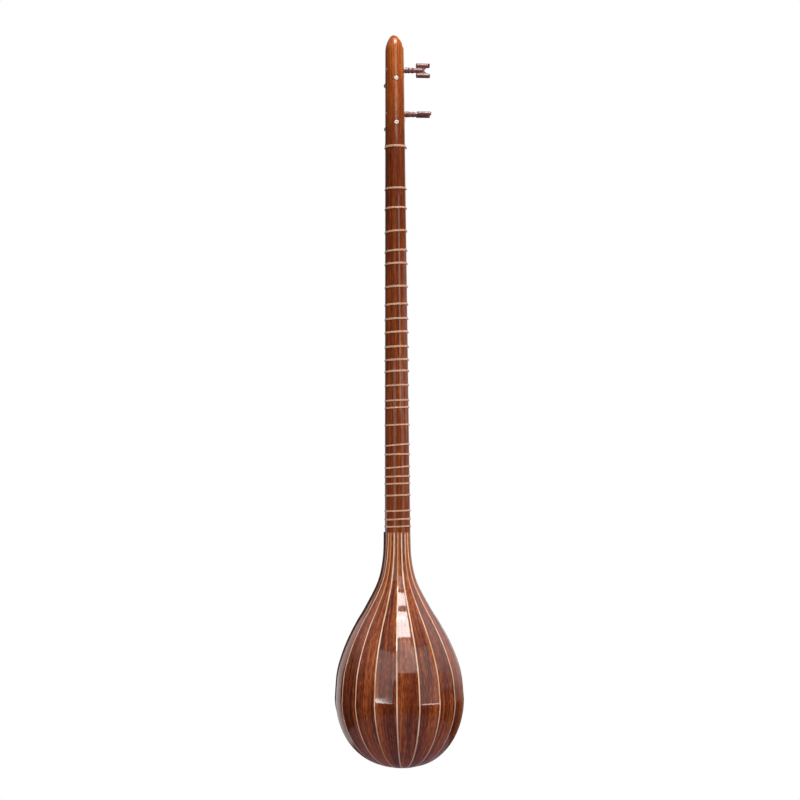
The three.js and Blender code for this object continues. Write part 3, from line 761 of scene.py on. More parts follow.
def strands_tree() -> GeometryTree:
    """A tree that lays strands of thread side by side along a closed loop, with one knot.

    Returns:
        The tree, which reads the point value knot (1 on the knot's own line).
    """
    sizes = {"Thread Radius": "Float", "Strands": "Int", "Pitch": "Float", "Seed": "Float"}
    made = GeometryTree("tied_band", sizes)
    knot = made.add("GeometryNodeInputNamedAttribute", {0: "knot"}, data_type="FLOAT")
    is_knot = made.add("FunctionNodeCompare", {0: knot, 1: 0.5}, operation="GREATER_THAN")
    parts = made.add("GeometryNodeSeparateGeometry", {0: made.start[0], 1: is_knot})
    loop = made.add("GeometryNodeMeshToCurve", {0: parts.outputs[1]})
    tie = made.add("GeometryNodeMeshToCurve", {0: parts})
    step = made.add("ShaderNodeCombineXYZ", {2: made.start["Pitch"]})
    turns = made.add("ShaderNodeMath", {0: made.start["Strands"], 1: -1.0}, operation="ADD")
    reach = made.add("ShaderNodeMath", {0: turns, 1: made.start["Pitch"]}, operation="MULTIPLY")
    back = made.add("ShaderNodeMath", {0: reach, 1: -0.5}, operation="MULTIPLY")
    first = made.add("ShaderNodeCombineXYZ", {2: back})
    row = made.add(
        "GeometryNodeMeshLine",
        {"Count": made.start["Strands"], "Start Location": first, "Offset": step},
        mode="OFFSET",
    )
    laid = made.add("GeometryNodeInstanceOnPoints", {"Points": row, "Instance": loop})
    real = made.add("GeometryNodeRealizeInstances", {0: laid})
    both = made.add("GeometryNodeJoinGeometry", {0: [real, tie]})
    place = made.add("GeometryNodeInputPosition")
    shifted = made.add("ShaderNodeVectorMath", {0: place, 1: made.start["Seed"]}, operation="ADD")
    noise = made.add("ShaderNodeTexNoise", {"Vector": shifted, "Scale": 90.0, "Detail": 0.0})
    most = 0.12 * MM
    sway = made.add("ShaderNodeMapRange", {"Value": noise, "To Min": -most, "To Max": most})
    along = made.add("ShaderNodeCombineXYZ", {2: sway})
    swayed = made.add("GeometryNodeSetPosition", {0: both, "Offset": along})
    ring = made.add(
        "GeometryNodeCurvePrimitiveCircle",
        {"Resolution": 8, "Radius": made.start["Thread Radius"]},
    )
    swept = made.add(
        "GeometryNodeCurveToMesh",
        {"Curve": swayed, "Profile Curve": ring, "Fill Caps": True},
    )
    made.end(swept, 60.0)
    return made


def coil_tree() -> GeometryTree:
    """A tree that winds a wire in a straight coil and puts it in its place.

    Returns:
        The tree, which needs no more than a point to start from.
    """
    sizes = {
        "Turns": "Float", "Coil Radius": "Float", "Wire Radius": "Float", "Length": "Float",
        "Place": "Vector", "Turn": "Vector",
    }
    made = GeometryTree("wound_wire", sizes)
    spiral = made.add(
        "GeometryNodeCurveSpiral",
        {
            "Resolution": 24,
            "Rotations": made.start["Turns"],
            "Start Radius": made.start["Coil Radius"],
            "End Radius": made.start["Coil Radius"],
            "Height": made.start["Length"],
        },
    )
    ring = made.add(
        "GeometryNodeCurvePrimitiveCircle",
        {"Resolution": 6, "Radius": made.start["Wire Radius"]},
    )
    swept = made.add(
        "GeometryNodeCurveToMesh",
        {"Curve": spiral, "Profile Curve": ring, "Fill Caps": True},
    )
    placed = made.add(
        "GeometryNodeTransform",
        {0: swept, "Translation": made.start["Place"], "Rotation": made.start["Turn"]},
    )
    made.end(placed, 60.0)
    return made


def perforation_tree() -> GeometryTree:
    """A tree that drills a round hole at every loose point of a board.

    Returns:
        The tree, which reads the point value hole (1 on the loose points).
    """
    made = GeometryTree("perforated_board", {"Hole Radius": "Float", "Drill Length": "Float"})
    hole = made.add("GeometryNodeInputNamedAttribute", {0: "hole"}, data_type="FLOAT")
    is_hole = made.add("FunctionNodeCompare", {0: hole, 1: 0.5}, operation="GREATER_THAN")
    parts = made.add("GeometryNodeSeparateGeometry", {0: made.start[0], 1: is_hole})
    drill = made.add(
        "GeometryNodeMeshCylinder",
        {"Vertices": 24, "Radius": made.start["Hole Radius"], "Depth": made.start["Drill Length"]},
    )
    drills = made.add(
        "GeometryNodeInstanceOnPoints",
        {"Points": parts, "Instance": drill, "Rotation": (math.pi / 2, 0.0, 0.0)},
    )
    real = made.add("GeometryNodeRealizeInstances", {0: drills})
    drilled = made.add(
        "GeometryNodeMeshBoolean", {0: parts.outputs[1], 1: real}, operation="DIFFERENCE"
    )
    made.end(drilled, 30.0)
    return made


def binding_tree() -> GeometryTree:
    """A tree that sweeps a rounded rectangular section along a flat line in X and Z.

    Returns:
        The tree, which reads loose edges.
    """
    made = GeometryTree("edge_band", {"Width": "Float", "Depth": "Float", "Edge Radius": "Float"})
    line = made.add("GeometryNodeMeshToCurve", {0: made.start[0]})
    upright = made.add(
        "GeometryNodeSetCurveNormal", {0: line, "Normal": (0.0, -1.0, 0.0)}, mode="FREE"
    )
    section = made.add(
        "GeometryNodeCurvePrimitiveQuadrilateral",
        {"Width": made.start["Depth"], "Height": made.start["Width"]},
    )
    rounded = made.add(
        "GeometryNodeFilletCurve",
        {"Curve": section, "Radius": made.start["Edge Radius"], "Count": 3},
        mode="POLY",
    )
    swept = made.add(
        "GeometryNodeCurveToMesh",
        {"Curve": upright, "Profile Curve": rounded, "Fill Caps": True},
    )
    made.end(swept)
    return made


def settle(piece: Object, body: str, slot: str, *nodes: str) -> Object:
    """Makes a finished piece ride on a body, and hides the CAD nodes that it stands for.

    Args:
        piece: the finished piece.
        body: the CAD body that it moves with.
        slot: the material slot's name; not used.
        nodes: the CAD nodes that it replaces.

    Returns:
        The piece.
    """
    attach(piece, body)
    if nodes:
        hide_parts(*nodes)
    LOG.info("%s: %d faces, rides on %s", piece.name, len(piece.data.polygons), body)
    return piece


# Neck


@dataclass
class Neck:
    """The long neck with its half-round back and rounded tip, and the lengths it sets."""

    hook_above_nut: float = 22.0
    head: float = 132.0
    length: float = 448.6
    half_at_nut: float = 11.0
    half_at_joint: float = 14.0
    wall_share: float = 1.05
    edge_round: float = 0.9
    tip_rounding: float = 19.0
    tip_depth_share: float = 0.35
    nut_above_tie: float = 2.3
    nut_thickness: float = 2.8
    nut_slot: float = 1.5
    fit: float = 0.3
    arc_steps: int = 32
    edge_steps: int = 4
    row_pitch: float = 12.0
    rows: int = 38
    head_rows: int = 12
    tip_rows: int = 20
    first_peg: float = 27.4
    peg_pitch: float = 51.7
    side_peg_rise: float = 11.0

    @property
    def nut_z(self) -> float:
        """The height of the tie at the nut."""
        return -self.hook_above_nut

    @property
    def tip_z(self) -> float:
        """The height of the tip."""
        return self.nut_z + self.head

    @property
    def joint_z(self) -> float:
        """The height at which the neck meets the bowl."""
        return self.nut_z - self.length

    def half(self, z: float) -> float:
        """Returns half the neck's width at a height."""
        growth = self.half_at_joint - self.half_at_nut
        return self.half_at_nut + growth * (self.nut_z - z) / self.length

    def outline(self, z: float, offset: float = 0.0) -> list[Vector]:
        """The neck's outline at a height, grown outwards.

        Args:
            z: the height.
            offset: how far outside the neck's surface the outline lies.

        Returns:
            Its points, from the front of the -X side round the front and the back.
        """
        half = self.half(z) + offset
        wall = self.half(z) * self.wall_share
        turn = self.edge_round + offset
        points = []
        for centre_x, start in ((turn - half, math.pi), (half - turn, 1.5 * math.pi)):
            for k in range(self.edge_steps + 1):
                angle = start + math.pi / 2 * k / self.edge_steps
                x, y = centre_x + turn * math.cos(angle), self.edge_round + turn * math.sin(angle)
                points.append((x, y))
        for k in range(self.arc_steps + 1):
            angle = math.pi * k / self.arc_steps
            points.append((half * math.cos(angle), wall + half * math.sin(angle)))
        return [Vector((x, y, z)) for x, y in points]

    def body(self) -> Object:
        """Builds the plain neck, without its holes.

        Returns:
            The neck, closed at both ends.
        """
        heights = [self.joint_z + k * self.row_pitch for k in range(self.rows)]
        straight_top = self.tip_z - self.tip_rounding
        steps = range(1, self.head_rows + 1)
        heights += [lerp(heights[-1], straight_top, k / self.head_rows) for k in steps]
        rings = [self.outline(z) for z in heights]
        for k in range(1, self.tip_rows + 1):
            share = math.sin(math.pi / 2 * k / (self.tip_rows + 0.5))
            z = straight_top + self.tip_rounding * share
            shrink = math.sqrt(1 - share * share)
            middle = 2 * self.half(z) * self.tip_depth_share
            rings.append([
                Vector((p.x * shrink, lerp(middle, p.y, shrink), z)) for p in self.outline(z)
            ])
        return mesh_object("neck_body", *stack_rings(rings))

    def build(self, holes: Sequence[Object]) -> None:
        """Builds the neck with its peg holes and nut slot.

        Args:
            holes: the objects that are cut out, which are removed.
        """
        neck = self.body()
        nut_low = self.nut_z + self.nut_above_tie
        reach, floor = self.half(nut_low) + CUT_MARGIN, self.nut_slot + self.fit
        sides = ((-reach, -CUT_MARGIN), (reach, -CUT_MARGIN), (reach, floor), (-reach, floor))
        corners = [
            Vector((x, y, z))
            for z in (nut_low - self.fit, nut_low + self.nut_thickness + self.fit)
            for x, y in sides
        ]
        slot = mesh_object("nut_slot_cutter", *stack_rings([corners[:4], corners[4:]]))
        for cutter in (*holes, slot):
            tidy_mesh(cutter)
            step = neck.modifiers.new("cut", "BOOLEAN")
            step.operation, step.solver, step.object = "DIFFERENCE", "EXACT", cutter
        keep_result(neck)
        for cutter in (*holes, slot):
            bpy.data.objects.remove(cutter)
        tidy_mesh(neck, 35.0)
        neck.data.materials.clear()
        neck.data.materials.append(NECK_WOOD.build())
        settle(neck, INSTRUMENT, "neck_wood", "neck")


# Bowl


@dataclass
class Section:
    """The bowl's cross-section at one place, with the heights of its parts."""

    half: float
    side: float
    keel: float
    side_z: float
    keel_z: float
    rim_half: float
    rim_z: float
    fan: float

    @property
    def round_length(self) -> float:
        """The length round the back, from the keel to the side."""
        return self.half * math.pi / 2


@dataclass
class Strip:
    """A strip of the bowl between two edges, each a signed length from the keel at a place."""

    places: Sequence[float]
    first: Edge
    last: Edge
    columns: int
    number: int


@dataclass
class Bowl:
    """The staved bowl: its surface by rule, the staves, the lines between them and the cap.

    The along and half shares are points of the shoulder's curve. The cap's rings are pairs of a
    height over the bowl's end and a share of the cap's width. The first piece numbers and the
    figures' steps place each strip on its own part of the plank.
    """

    neck: Neck
    shoulder: float = 191.4
    heel: float = 75.0
    half_width: float = 74.0
    wall: float = 22.0
    depth: float = 100.0
    tail_depth: float = 50.0
    rim_heel: float = 65.0
    throat: float = 110.0
    throat_swell: float = 2.5
    swell_place: float = 95.0
    swell_length: float = 28.0
    fan_length: float = 100.0
    stave_thickness: float = 2.8
    line_width: float = 1.5
    line_thickness: float = 2.0
    line_point: float = 3.0
    flatness: float = 0.45
    stave_angle: float = math.radians(20)
    round_staves: int = 9
    rim_depth: float = 2.8
    rounding_share: float = 0.8
    keel_drop_share: float = 1.25
    rim_share: float = 0.975
    joint_fan_share: float = 0.88
    cap_share: float = 0.096
    stave_end_share: float = 0.1
    side_end_share: float = 0.01
    along_shares: tuple[float, ...] = (0, 0.154, 0.3, 0.451, 0.54, 0.645, 0.749, 0.854, 1)
    half_shares: tuple[float, ...] = (0.19, 0.206, 0.289, 0.49, 0.632, 0.778, 0.89, 0.965, 1)
    rows_up: int = 44
    rows_down: int = 36
    first_rows: tuple[float, ...] = (0.03, 0.08, 0.16, 0.3, 0.5, 0.75)
    line_tip_share: float = 0.08
    line_under_cap: float = 0.8
    tint_full: float = 60.0
    tint_gone: float = 120.0
    round_columns: int = 12
    side_columns: int = 14
    line_columns: int = 2
    first_side_number: int = 20
    first_line_number: int = 40
    figure_across: float = 97.3
    figure_along: float = 311.7
    cap_steps: int = 40
    cap_rings: Profile = (
        (-0.3, 0.12), (-0.25, 0.5), (-0.1, 0.85), (0.1, 0.97), (0.5, 1.0), (2.8, 1.0),
    )

    @property
    def widest_z(self) -> float:
        """The height of the widest place."""
        return self.neck.joint_z - self.shoulder

    def profile(self, share: float) -> tuple[float, float]:
        """Reads the shoulder's smooth curve.

        Args:
            share: how far down the shoulder, from 0 to 1.

        Returns:
            The length along the shoulder, and half the bowl's width there.
        """
        last = len(self.along_shares) - 1
        at = share * last
        k = min(int(at), last - 1)
        t = at - k
        values = []
        curves = ((self.along_shares, self.shoulder), (self.half_shares, self.half_width))
        for shares, size in curves:
            p0, p1, p2, p3 = (
                shares[max(k - 1, 0)], shares[k], shares[k + 1], shares[min(k + 2, last)]
            )
            v0, v1 = (p2 - p0) / 2, (p3 - p1) / 2
            cubic = (2 * p1 - 2 * p2 + v0 + v1) * t**3 + (3 * p2 - 3 * p1 - 2 * v0 - v1) * t**2
            values.append((cubic + v0 * t + p1) * size)
        return values[0], values[1]

    def section(self, place: float) -> Section:
        """The bowl's section at a place.

        Args:
            place: -1 at the neck, 0 at the widest place, 1 at the tail.

        Returns:
            The section.
        """
        if place <= 0:
            along, half = self.profile(1 + place)
            share = along / self.shoulder
            wall_share = lerp(
                self.neck.wall_share, self.wall / self.half_width, smoothstep(along, 0, self.throat)
            )
            back_share = lerp(1, (self.depth - self.wall) / self.half_width, share)
            z = self.neck.joint_z - along
            fan = lerp(self.joint_fan_share, 1, smoothstep(along, 0, self.fan_length))
            rim_half = half * lerp(1, self.rim_share, share)
            from_swell = (along - self.swell_place) / self.swell_length
            swell = self.throat_swell * math.exp(-(from_swell**2))
            side, keel = half * wall_share, half * (wall_share + back_share) + swell
            return Section(half, side, keel, z, z, rim_half, z, fan)
        shrink, drop = math.cos(place * math.pi / 2), math.sin(place * math.pi / 2)
        return Section(
            self.half_width * shrink**self.rounding_share,
            lerp(self.tail_depth, self.wall, shrink),
            lerp(self.tail_depth, self.depth, shrink),
            self.widest_z - self.heel * drop,
            self.widest_z - self.heel * drop**self.keel_drop_share,
            self.half_width * self.rim_share * shrink,
            self.widest_z - self.rim_heel * drop,
            1.0,
        )

    def total_length(self, section: Section) -> float:
        """Measures round a section, from the keel to the rim.

        Args:
            section: the section.

        Returns:
            The length on one side.
        """
        across, deep = section.half - section.rim_half, section.side - self.rim_depth
        wall = Vector((across, deep, section.side_z - section.rim_z))
        return section.round_length + wall.length

    def point(self, place: float, reach: float, hand: int) -> Vector:
        """A point of the bowl's outside.

        Args:
            place: where along the bowl, from -1 to 1.
            reach: the length round the section from the keel.
            hand: -1 for the -X side, 1 for the +X side.

        Returns:
            The point.
        """
        s = self.section(place)
        if reach <= s.round_length:
            turn = reach / s.half
            back = math.cos(turn)
            y, z = lerp(s.side, s.keel, back), lerp(s.side_z, s.keel_z, back)
            return Vector((hand * s.half * math.sin(turn), y, z))
        lean = (s.side - self.rim_depth) / 2 / (s.keel - s.side)
        a = Vector((hand * s.half, s.side, s.side_z))
        y, z = (s.side + self.rim_depth) / 2, s.side_z + (s.side_z - s.keel_z) * lean
        b = Vector((hand * s.half, y, z))
        c = Vector((hand * s.rim_half, self.rim_depth, s.rim_z))
        t = min((reach - s.round_length) / (self.total_length(s) - s.round_length), 1.0)
        return a * (1 - t) ** 2 + b * (2 * t * (1 - t)) + c * t * t

    def line_half(self, place: float) -> float:
        """Finds how wide a light line is, drawn to a round point at the neck.

        Args:
            place: where along the bowl, from -1 to 1.

        Returns:
            Half the line's width.
        """
        along = max(self.neck.joint_z - self.section(place).side_z, 0.0)
        share = min(along / self.line_point, 1.0)
        return self.line_width / 2 * max(math.sqrt(1 - (1 - share) ** 2), self.line_tip_share)

    def seam(self, place: float, number: float, side: int) -> float:
        """Finds a line between two staves.

        Args:
            place: where along the bowl, from -1 to 1.
            number: the line's number from the keel, negative on the -X side.
            side: -1 for its edge towards the keel, 0 for its middle, 1 for its far edge.

        Returns:
            The signed length from the keel.
        """
        s = self.section(place)
        hand = 1 if number > 0 else -1
        middle = s.half * self.stave_angle * (abs(number) - 0.5) * s.fan
        return hand * (middle + side * self.line_half(place))

    def places(self, end: float) -> list[float]:
        """Lists the places of a strip's rows, which are closest near the neck.

        Args:
            end: the last row's place.

        Returns:
            The places, from -1 at the neck to the end.
        """
        up = [k / self.rows_up - 1 for k in range(self.rows_up)]
        up[1:1] = [lerp(-1, up[1], share) for share in self.first_rows]
        down = [end * k / self.rows_down for k in range(self.rows_down + 1)]
        return up + down

    def end_place(self, share: float) -> float:
        """Returns the place at which the bowl has shrunk to a share of its width."""
        return 2 / math.pi * math.acos(share)

    def patch(self, name: str, strip: Strip) -> Object:
        """Makes an open patch of the bowl's outside, with its map and its point values.

        Args:
            name: the object's name.
            strip: its rows, edges and faces across. Its number moves the wood pattern, so that
                no two pieces share their figure.

        Returns:
            The patch.
        """
        points, uvs, across, sagitta = [], [], [], []
        along = 0.0
        before: Vector | None = None
        columns = strip.columns
        off_across = self.figure_across * strip.number
        off_along = self.figure_along * strip.number
        for place in strip.places:
            a, b = strip.first(place), strip.last(place)
            half = self.section(place).half
            centre = (a + b) / 2
            middle = self.point(place, abs(centre), 1 if centre >= 0 else -1)
            along += (middle - before).length if before else 0.0
            before = middle
            wide = abs(b - a) / 2
            for k in range(columns + 1):
                reach = lerp(a, b, k / columns)
                points.append(self.point(place, abs(reach), 1 if reach >= 0 else -1))
                uvs.append((lerp(-wide, wide, k / columns) + off_across, along + off_along))
                across.append(2 * k / columns - 1)
                sagitta.append((b - a) ** 2 / (8 * half) * MM)
        width = columns + 1
        faces = [
            (r * width + k, r * width + k + 1, (r + 1) * width + k + 1, (r + 1) * width + k)
            for r in range(len(strip.places) - 1)
            for k in range(columns)
        ]
        patch = mesh_object(name, points, faces, uvs=uvs)
        if patch.data.polygons[0].normal.y < 0:
            patch.data.flip_normals()
        add_point_values(patch, "across", across)
        add_point_values(patch, "sagitta", sagitta)
        return patch

    def build_staves(self, tree: GeometryTree) -> None:
        """Builds the nine round staves and the two side staves.

        Args:
            tree: the tree that gives a patch its thickness.
        """
        seams = (self.round_staves + 1) // 2
        round_places = self.places(self.end_place(self.stave_end_share))
        for k in range(1 - seams, seams):
            low = (k, 1) if k > 0 else (k - 1, -1)
            high = (k, 1) if k < 0 else (k + 1, -1)
            strip = Strip(
                round_places,
                lambda place, low=low: self.seam(place, *low),
                lambda place, high=high: self.seam(place, *high),
                self.round_columns,
                k + seams,
            )
            self.build_stave(tree, f"rib_{k + seams + 1:02d}", strip, self.flatness)
        side_places = self.places(self.end_place(self.side_end_share))
        for hand, node in ((-1, "rib_01"), (1, f"rib_{self.round_staves + 2:02d}")):
            strip = Strip(
                side_places,
                lambda place, hand=hand: self.seam(place, hand * seams, 1),
                lambda place, hand=hand: hand * self.total_length(self.section(place)),
                self.side_columns,
                self.first_side_number + hand,
            )
            self.build_stave(tree, node, strip, 0.0)

    def build_stave(self, tree: GeometryTree, node: str, strip: Strip, flatness: float) -> None:
        """Builds one stave in the place of its CAD node.

        Args:
            tree: the tree that gives a patch its thickness.
            node: the CAD node.
            strip: the stave's place on the bowl.
            flatness: how flat the stave is across, from 0 for round to 1 for flat.
        """
        stave = self.patch(f"stave_{node[-2:]}", strip)
        tree.run(stave, STAVE_WOOD, Thickness=self.stave_thickness * MM, Flatness=flatness)
        settle(stave, INSTRUMENT, "rib_wood", node)

    def build_lines(self, tree: GeometryTree) -> None:
        """Builds the ten light lines and the oval cap that they run into at the tail.

        Args:
            tree: the tree that gives a patch its thickness.
        """
        seams = (self.round_staves + 1) // 2
        places = self.places(self.end_place(self.cap_share * self.line_under_cap))
        low, high = self.neck.joint_z - self.tint_gone, self.neck.joint_z - self.tint_full
        parts = []
        for number in range(1, seams + 1):
            for hand in (-1, 1):
                strip = Strip(
                    places,
                    lambda place, n=hand * number: self.seam(place, n, -1),
                    lambda place, n=hand * number: self.seam(place, n, 1),
                    self.line_columns,
                    self.first_line_number + hand * number,
                )
                line = self.patch(f"line_{hand * number}", strip)
                odd = (number + (hand < 0)) % 2
                heights = [p.co.z / MM for p in line.data.vertices]
                add_point_values(line, "tint", [odd * smoothstep(z, low, high) for z in heights])
                tree.run(line, LINE_WOOD, Thickness=self.line_thickness * MM, Flatness=0.0)
                parts.append(line)
        parts.append(self.cap())
        lines = join_pieces("stave_lines", parts)
        settle(lines, INSTRUMENT, "purfling_wood", "rib_purfling")

    def cap(self) -> Object:
        """Builds the oval cap at the tail, slightly domed.

        Returns:
            The cap.
        """
        s = self.section(self.end_place(self.cap_share))
        low = self.widest_z - self.heel
        angles = [2 * math.pi * k / self.cap_steps for k in range(self.cap_steps)]
        rings = []
        for rise, grow in self.cap_rings:
            across, deep = s.half * grow, (s.keel - s.side) * grow
            rings.append([
                Vector((across * math.cos(a), s.side + deep * math.sin(a), low + rise))
                for a in angles
            ])
        cap = mesh_object("tail_cap", *stack_rings(rings))
        layer = cap.data.uv_layers.new(name=UV_NAME)
        for loop in cap.data.loops:
            place = cap.data.vertices[loop.vertex_index].co
            layer.data[loop.index].uv = (place.x, place.y)
        cap.data.materials.append(LINE_WOOD.build())
        return tidy_mesh(cap, 50.0)

    def rim(self, offset: float) -> list[Vector]:
        """The rim's right half as a line in X and Z, from the neck to the tail.

        Args:
            offset: how far outwards it is moved.

        Returns:
            The line's points.
        """
        line = [Vector((s.rim_half, 0, s.rim_z)) for s in map(self.section, self.places(1.0))]
        moved = []
        for k, here in enumerate(line):
            before = line[max(k - 1, 0)]
            after = line[k + 1] if k + 1 < len(line) else Vector((-line[k - 1].x, 0, line[k - 1].z))
            along = (after - before).normalized()
            moved.append(here + Vector((-along.z, 0, along.x)) * offset)
        return moved


def join_pieces(name: str, parts: Sequence[Object]) -> Object:
    """Joins finished parts of one finish into one piece.

    Args:
        name: the piece's name.
        parts: the parts, which are removed.

    Returns:
        The joined piece.
    """
    with bpy.context.temp_override(active_object=parts[0], selected_editable_objects=list(parts)):
        bpy.ops.object.join()
    parts[0].name = parts[0].data.name = name
    return parts[0]


# Pegs


class Side(Enum):
    """Where a peg goes into the neck."""

    FRONT = "front"
    SIDE = "side"


@dataclass
class Peg:
    """One peg: a turned shaft through the neck, with two carved rolls and a notched web.

    The profiles are pairs of a radius and a length out of the neck's wall. The turned rings'
    radii are added to the shaft's own.
    """

    name: str
    z: float
    side: Side
    turn: float
    gauge: float
    wire: Finish
    wire_slot: str
    side_depth: float = 11.0
    wall_radius: float = 3.0
    end_radius: float = 2.7
    neck_radius: float = 3.2
    shaft_out: float = 14.3
    roll_radius: float = 2.8
    roll_length: float = 16.3
    roll_spread: float = 5.9
    web_thickness: float = 3.0
    notch: float = 5.0
    tip_radius: float = 2.7
    tip_thickness: float = 2.0
    tip_proud: float = 0.6
    fit: float = 0.3
    winding_from_wall: float = 1.2
    winding_length: float = 2.7
    winding_pitch: float = 1.03
    steps: int = 32
    hole_steps: int = 40
    tip_steps: int = 40
    scoop_steps: int = 24
    bar_soft: float = 0.8
    web_inset: float = 1.5
    notch_half: float = 0.6
    scoop: Profile = ((0.4, -5.0), (1.5, -3.0), (2.1, 0.5), (2.4, 3.0))
    scoop_lean: float = 48.0
    scoop_below_end: float = 0.4
    scoop_off_middle: float = 0.55
    turned_rings: Profile = (
        (-0.1, 4.6), (0.35, 5.1), (0.35, 5.9), (-0.15, 6.4), (-0.15, 9.2), (0.3, 9.7),
        (0.3, 10.4), (-0.25, 11.0),
    )
    carving_grain: float = 0.28
    polish: float = 0.5
    polish_rounds: int = 3
    tip_play: float = 0.05
    figure_lean: float = 0.6

    @property
    def body(self) -> str:
        """The CAD body that the peg is."""
        return f"peg_{self.name}"

    def through(self, neck: Neck) -> float:
        """Returns how much neck the peg goes through."""
        half = neck.half(self.z)
        return 2 * half if self.side is Side.SIDE else half * (1 + neck.wall_share)

    def matrix(self, neck: Neck) -> Matrix:
        """The peg's own frame: its Y runs out of the neck's wall towards the wings.

        Args:
            neck: the neck that it goes through.

        Returns:
            The frame in the instrument's, in millimetres.
        """
        if self.side is Side.SIDE:
            place = Vector((-neck.half(self.z), self.side_depth, self.z))
            return Matrix.Translation(place) @ Matrix.Rotation(math.pi / 2, 4, "Z")
        return Matrix.Translation(Vector((0, 0, self.z))) @ Matrix.Rotation(math.pi, 4, "X")

    def lathe(self, name: str, profile: Profile, steps: int) -> Object:
        """Turns a profile round the peg's own Y axis.

        Args:
            name: the object's name.
            profile: the radius and the length along the axis, in pairs.
            steps: how many faces go round.

        Returns:
            The turned body.
        """
        angles = [2 * math.pi * k / steps for k in range(steps)]
        rings = [
            [Vector((radius * math.cos(a), along, radius * math.sin(a))) for a in angles]
            for radius, along in profile
        ]
        return mesh_object(name, *stack_rings(rings))

    def hole(self, neck: Neck) -> Object:
        """Makes the cutter for the hole that the peg turns in.

        Args:
            neck: the neck that is cut.

        Returns:
            The cutter, in its place.
        """
        radius, far = self.wall_radius + self.fit / 3, -self.through(neck) - CUT_MARGIN
        profile = [(radius, far), (radius, CUT_MARGIN)]
        cutter = self.lathe(f"{self.body}_hole", profile, self.hole_steps)
        return self.placed(cutter, neck)

    def placed(self, piece: Object, neck: Neck) -> Object:
        """Moves a mesh from the peg's own frame to its place.

        Args:
            piece: the mesh's object.
            neck: the neck that the peg is in.

        Returns:
            The same object.
        """
        shift = Matrix.Scale(MM, 4) @ self.matrix(neck) @ Matrix.Scale(1 / MM, 4)
        piece.data.transform(shift)
        return piece

    def rounded_bar(self, name: str, x: float, radius: float, start: float, end: float) -> Object:
        """Turns a bar along Y with rounded ends.

        Args:
            name: the object's name.
            x: how far it is moved across.
            radius: its radius.
            start: where it starts along Y.
            end: where it ends.

        Returns:
            The bar.
        """
        soft = self.bar_soft
        profile = [(0.3, start), (radius - soft, start)]
        profile += [
            (radius - soft + soft * math.sin(a), start + soft - soft * math.cos(a))
            for a in (math.pi / 8 * k for k in range(1, 5))
        ]
        back = [(r, end - (along - start)) for r, along in reversed(profile)]
        bar = self.lathe(name, profile + back, self.steps)
        bar.data.transform(Matrix.Translation(Vector((x * MM, 0, 0))))
        return tidy_mesh(bar)

    def head_parts(self) -> tuple[list[Object], list[Object]]:
        """Makes the peg's head.

        Returns:
            The solids that make up the wings, and those that are cut out of them.
        """
        start, end = self.shaft_out, self.shaft_out + self.roll_length
        rolls = [
            self.rounded_bar("roll", side * self.roll_spread, self.roll_radius, start, end)
            for side in (-1, 1)
        ]
        half, wide, cut = self.web_thickness / 2, self.roll_spread, self.notch_half
        low, high = start + self.web_inset, end - self.web_inset
        outline = [
            (-wide, low), (wide, low), (wide, high), (cut, high - self.notch),
            (-cut, high - self.notch), (-wide, high),
        ]
        web = mesh_object(
            "web", *stack_rings([[Vector((x, y, z)) for x, y in outline] for z in (-half, half)])
        )
        scoops = []
        for side in (-1, 1):
            scoop = self.lathe("scoop", self.scoop, self.scoop_steps)
            tilt = Matrix.Rotation(math.radians(-self.scoop_lean * side), 4, "X")
            off = -self.scoop_off_middle * side * self.roll_radius
            place = Vector((side * self.roll_spread, end - self.scoop_below_end, off))
            scoop.data.transform(Matrix.Translation(place * MM) @ tilt)
            scoops.append(tidy_mesh(scoop))
        return [*rolls, tidy_mesh(web)], scoops

    def shaft(self, neck: Neck) -> Object:
        """Turns the shaft, with its rings outside the wall.

        Args:
            neck: the neck that it goes through.

        Returns:
            The shaft.
        """
        proud = -self.tip_proud
        if self.side is Side.FRONT:
            proud = self.tip_thickness - self.tip_proud + self.tip_play
        far, start = proud - self.through(neck), self.shaft_out
        profile = [
            (self.end_radius - 0.35, far), (self.end_radius, far + 0.4), (self.wall_radius, 0.0),
            *((self.neck_radius + more, along) for more, along in self.turned_rings),
            (self.neck_radius - 0.3, start + 1.0), (self.roll_radius - 0.2, start + 7.5),
        ]
        return tidy_mesh(self.lathe(self.body + "_wood", profile, self.steps))

    def build(self, neck: Neck, coil: GeometryTree) -> None:
        """Builds the peg, its tip where it has one, and the string wound on it.

        Args:
            neck: the neck that it goes through.
            coil: the tree that winds a wire.
        """
        shaft = self.shaft(neck)
        solids, scoops = self.head_parts()
        for solid in solids:
            step = shaft.modifiers.new("add", "BOOLEAN")
            step.operation, step.solver, step.object = "UNION", "EXACT", solid
        for scoop in scoops:
            step = shaft.modifiers.new("cut", "BOOLEAN")
            step.operation, step.solver, step.object = "DIFFERENCE", "EXACT", scoop
        grow = shaft.modifiers.new("carve", "REMESH")
        grow.mode, grow.voxel_size = "VOXEL", self.carving_grain * MM
        soften = shaft.modifiers.new("soften", "SMOOTH")
        soften.factor, soften.iterations = self.polish, self.polish_rounds
        keep_result(shaft)
        for part in (*solids, *scoops):
            bpy.data.objects.remove(part)
        layer = shaft.data.uv_layers.new(name=UV_NAME)
        for loop in shaft.data.loops:
            place = shaft.data.vertices[loop.vertex_index].co
            layer.data[loop.index].uv = (place.x + self.figure_lean * place.z, place.y)
        shaft.data.transform(Matrix.Rotation(self.turn, 4, "Y"))
        self.placed(shaft, neck)
        shaft.data.materials.clear()
        shaft.data.materials.append(PEG_WOOD.build())
        shaft.data.shade_smooth()
        settle(shaft, self.body, "peg_wood", self.body)
        self.build_winding(neck, coil)
        if self.side is Side.FRONT:
            self.build_tip(neck)

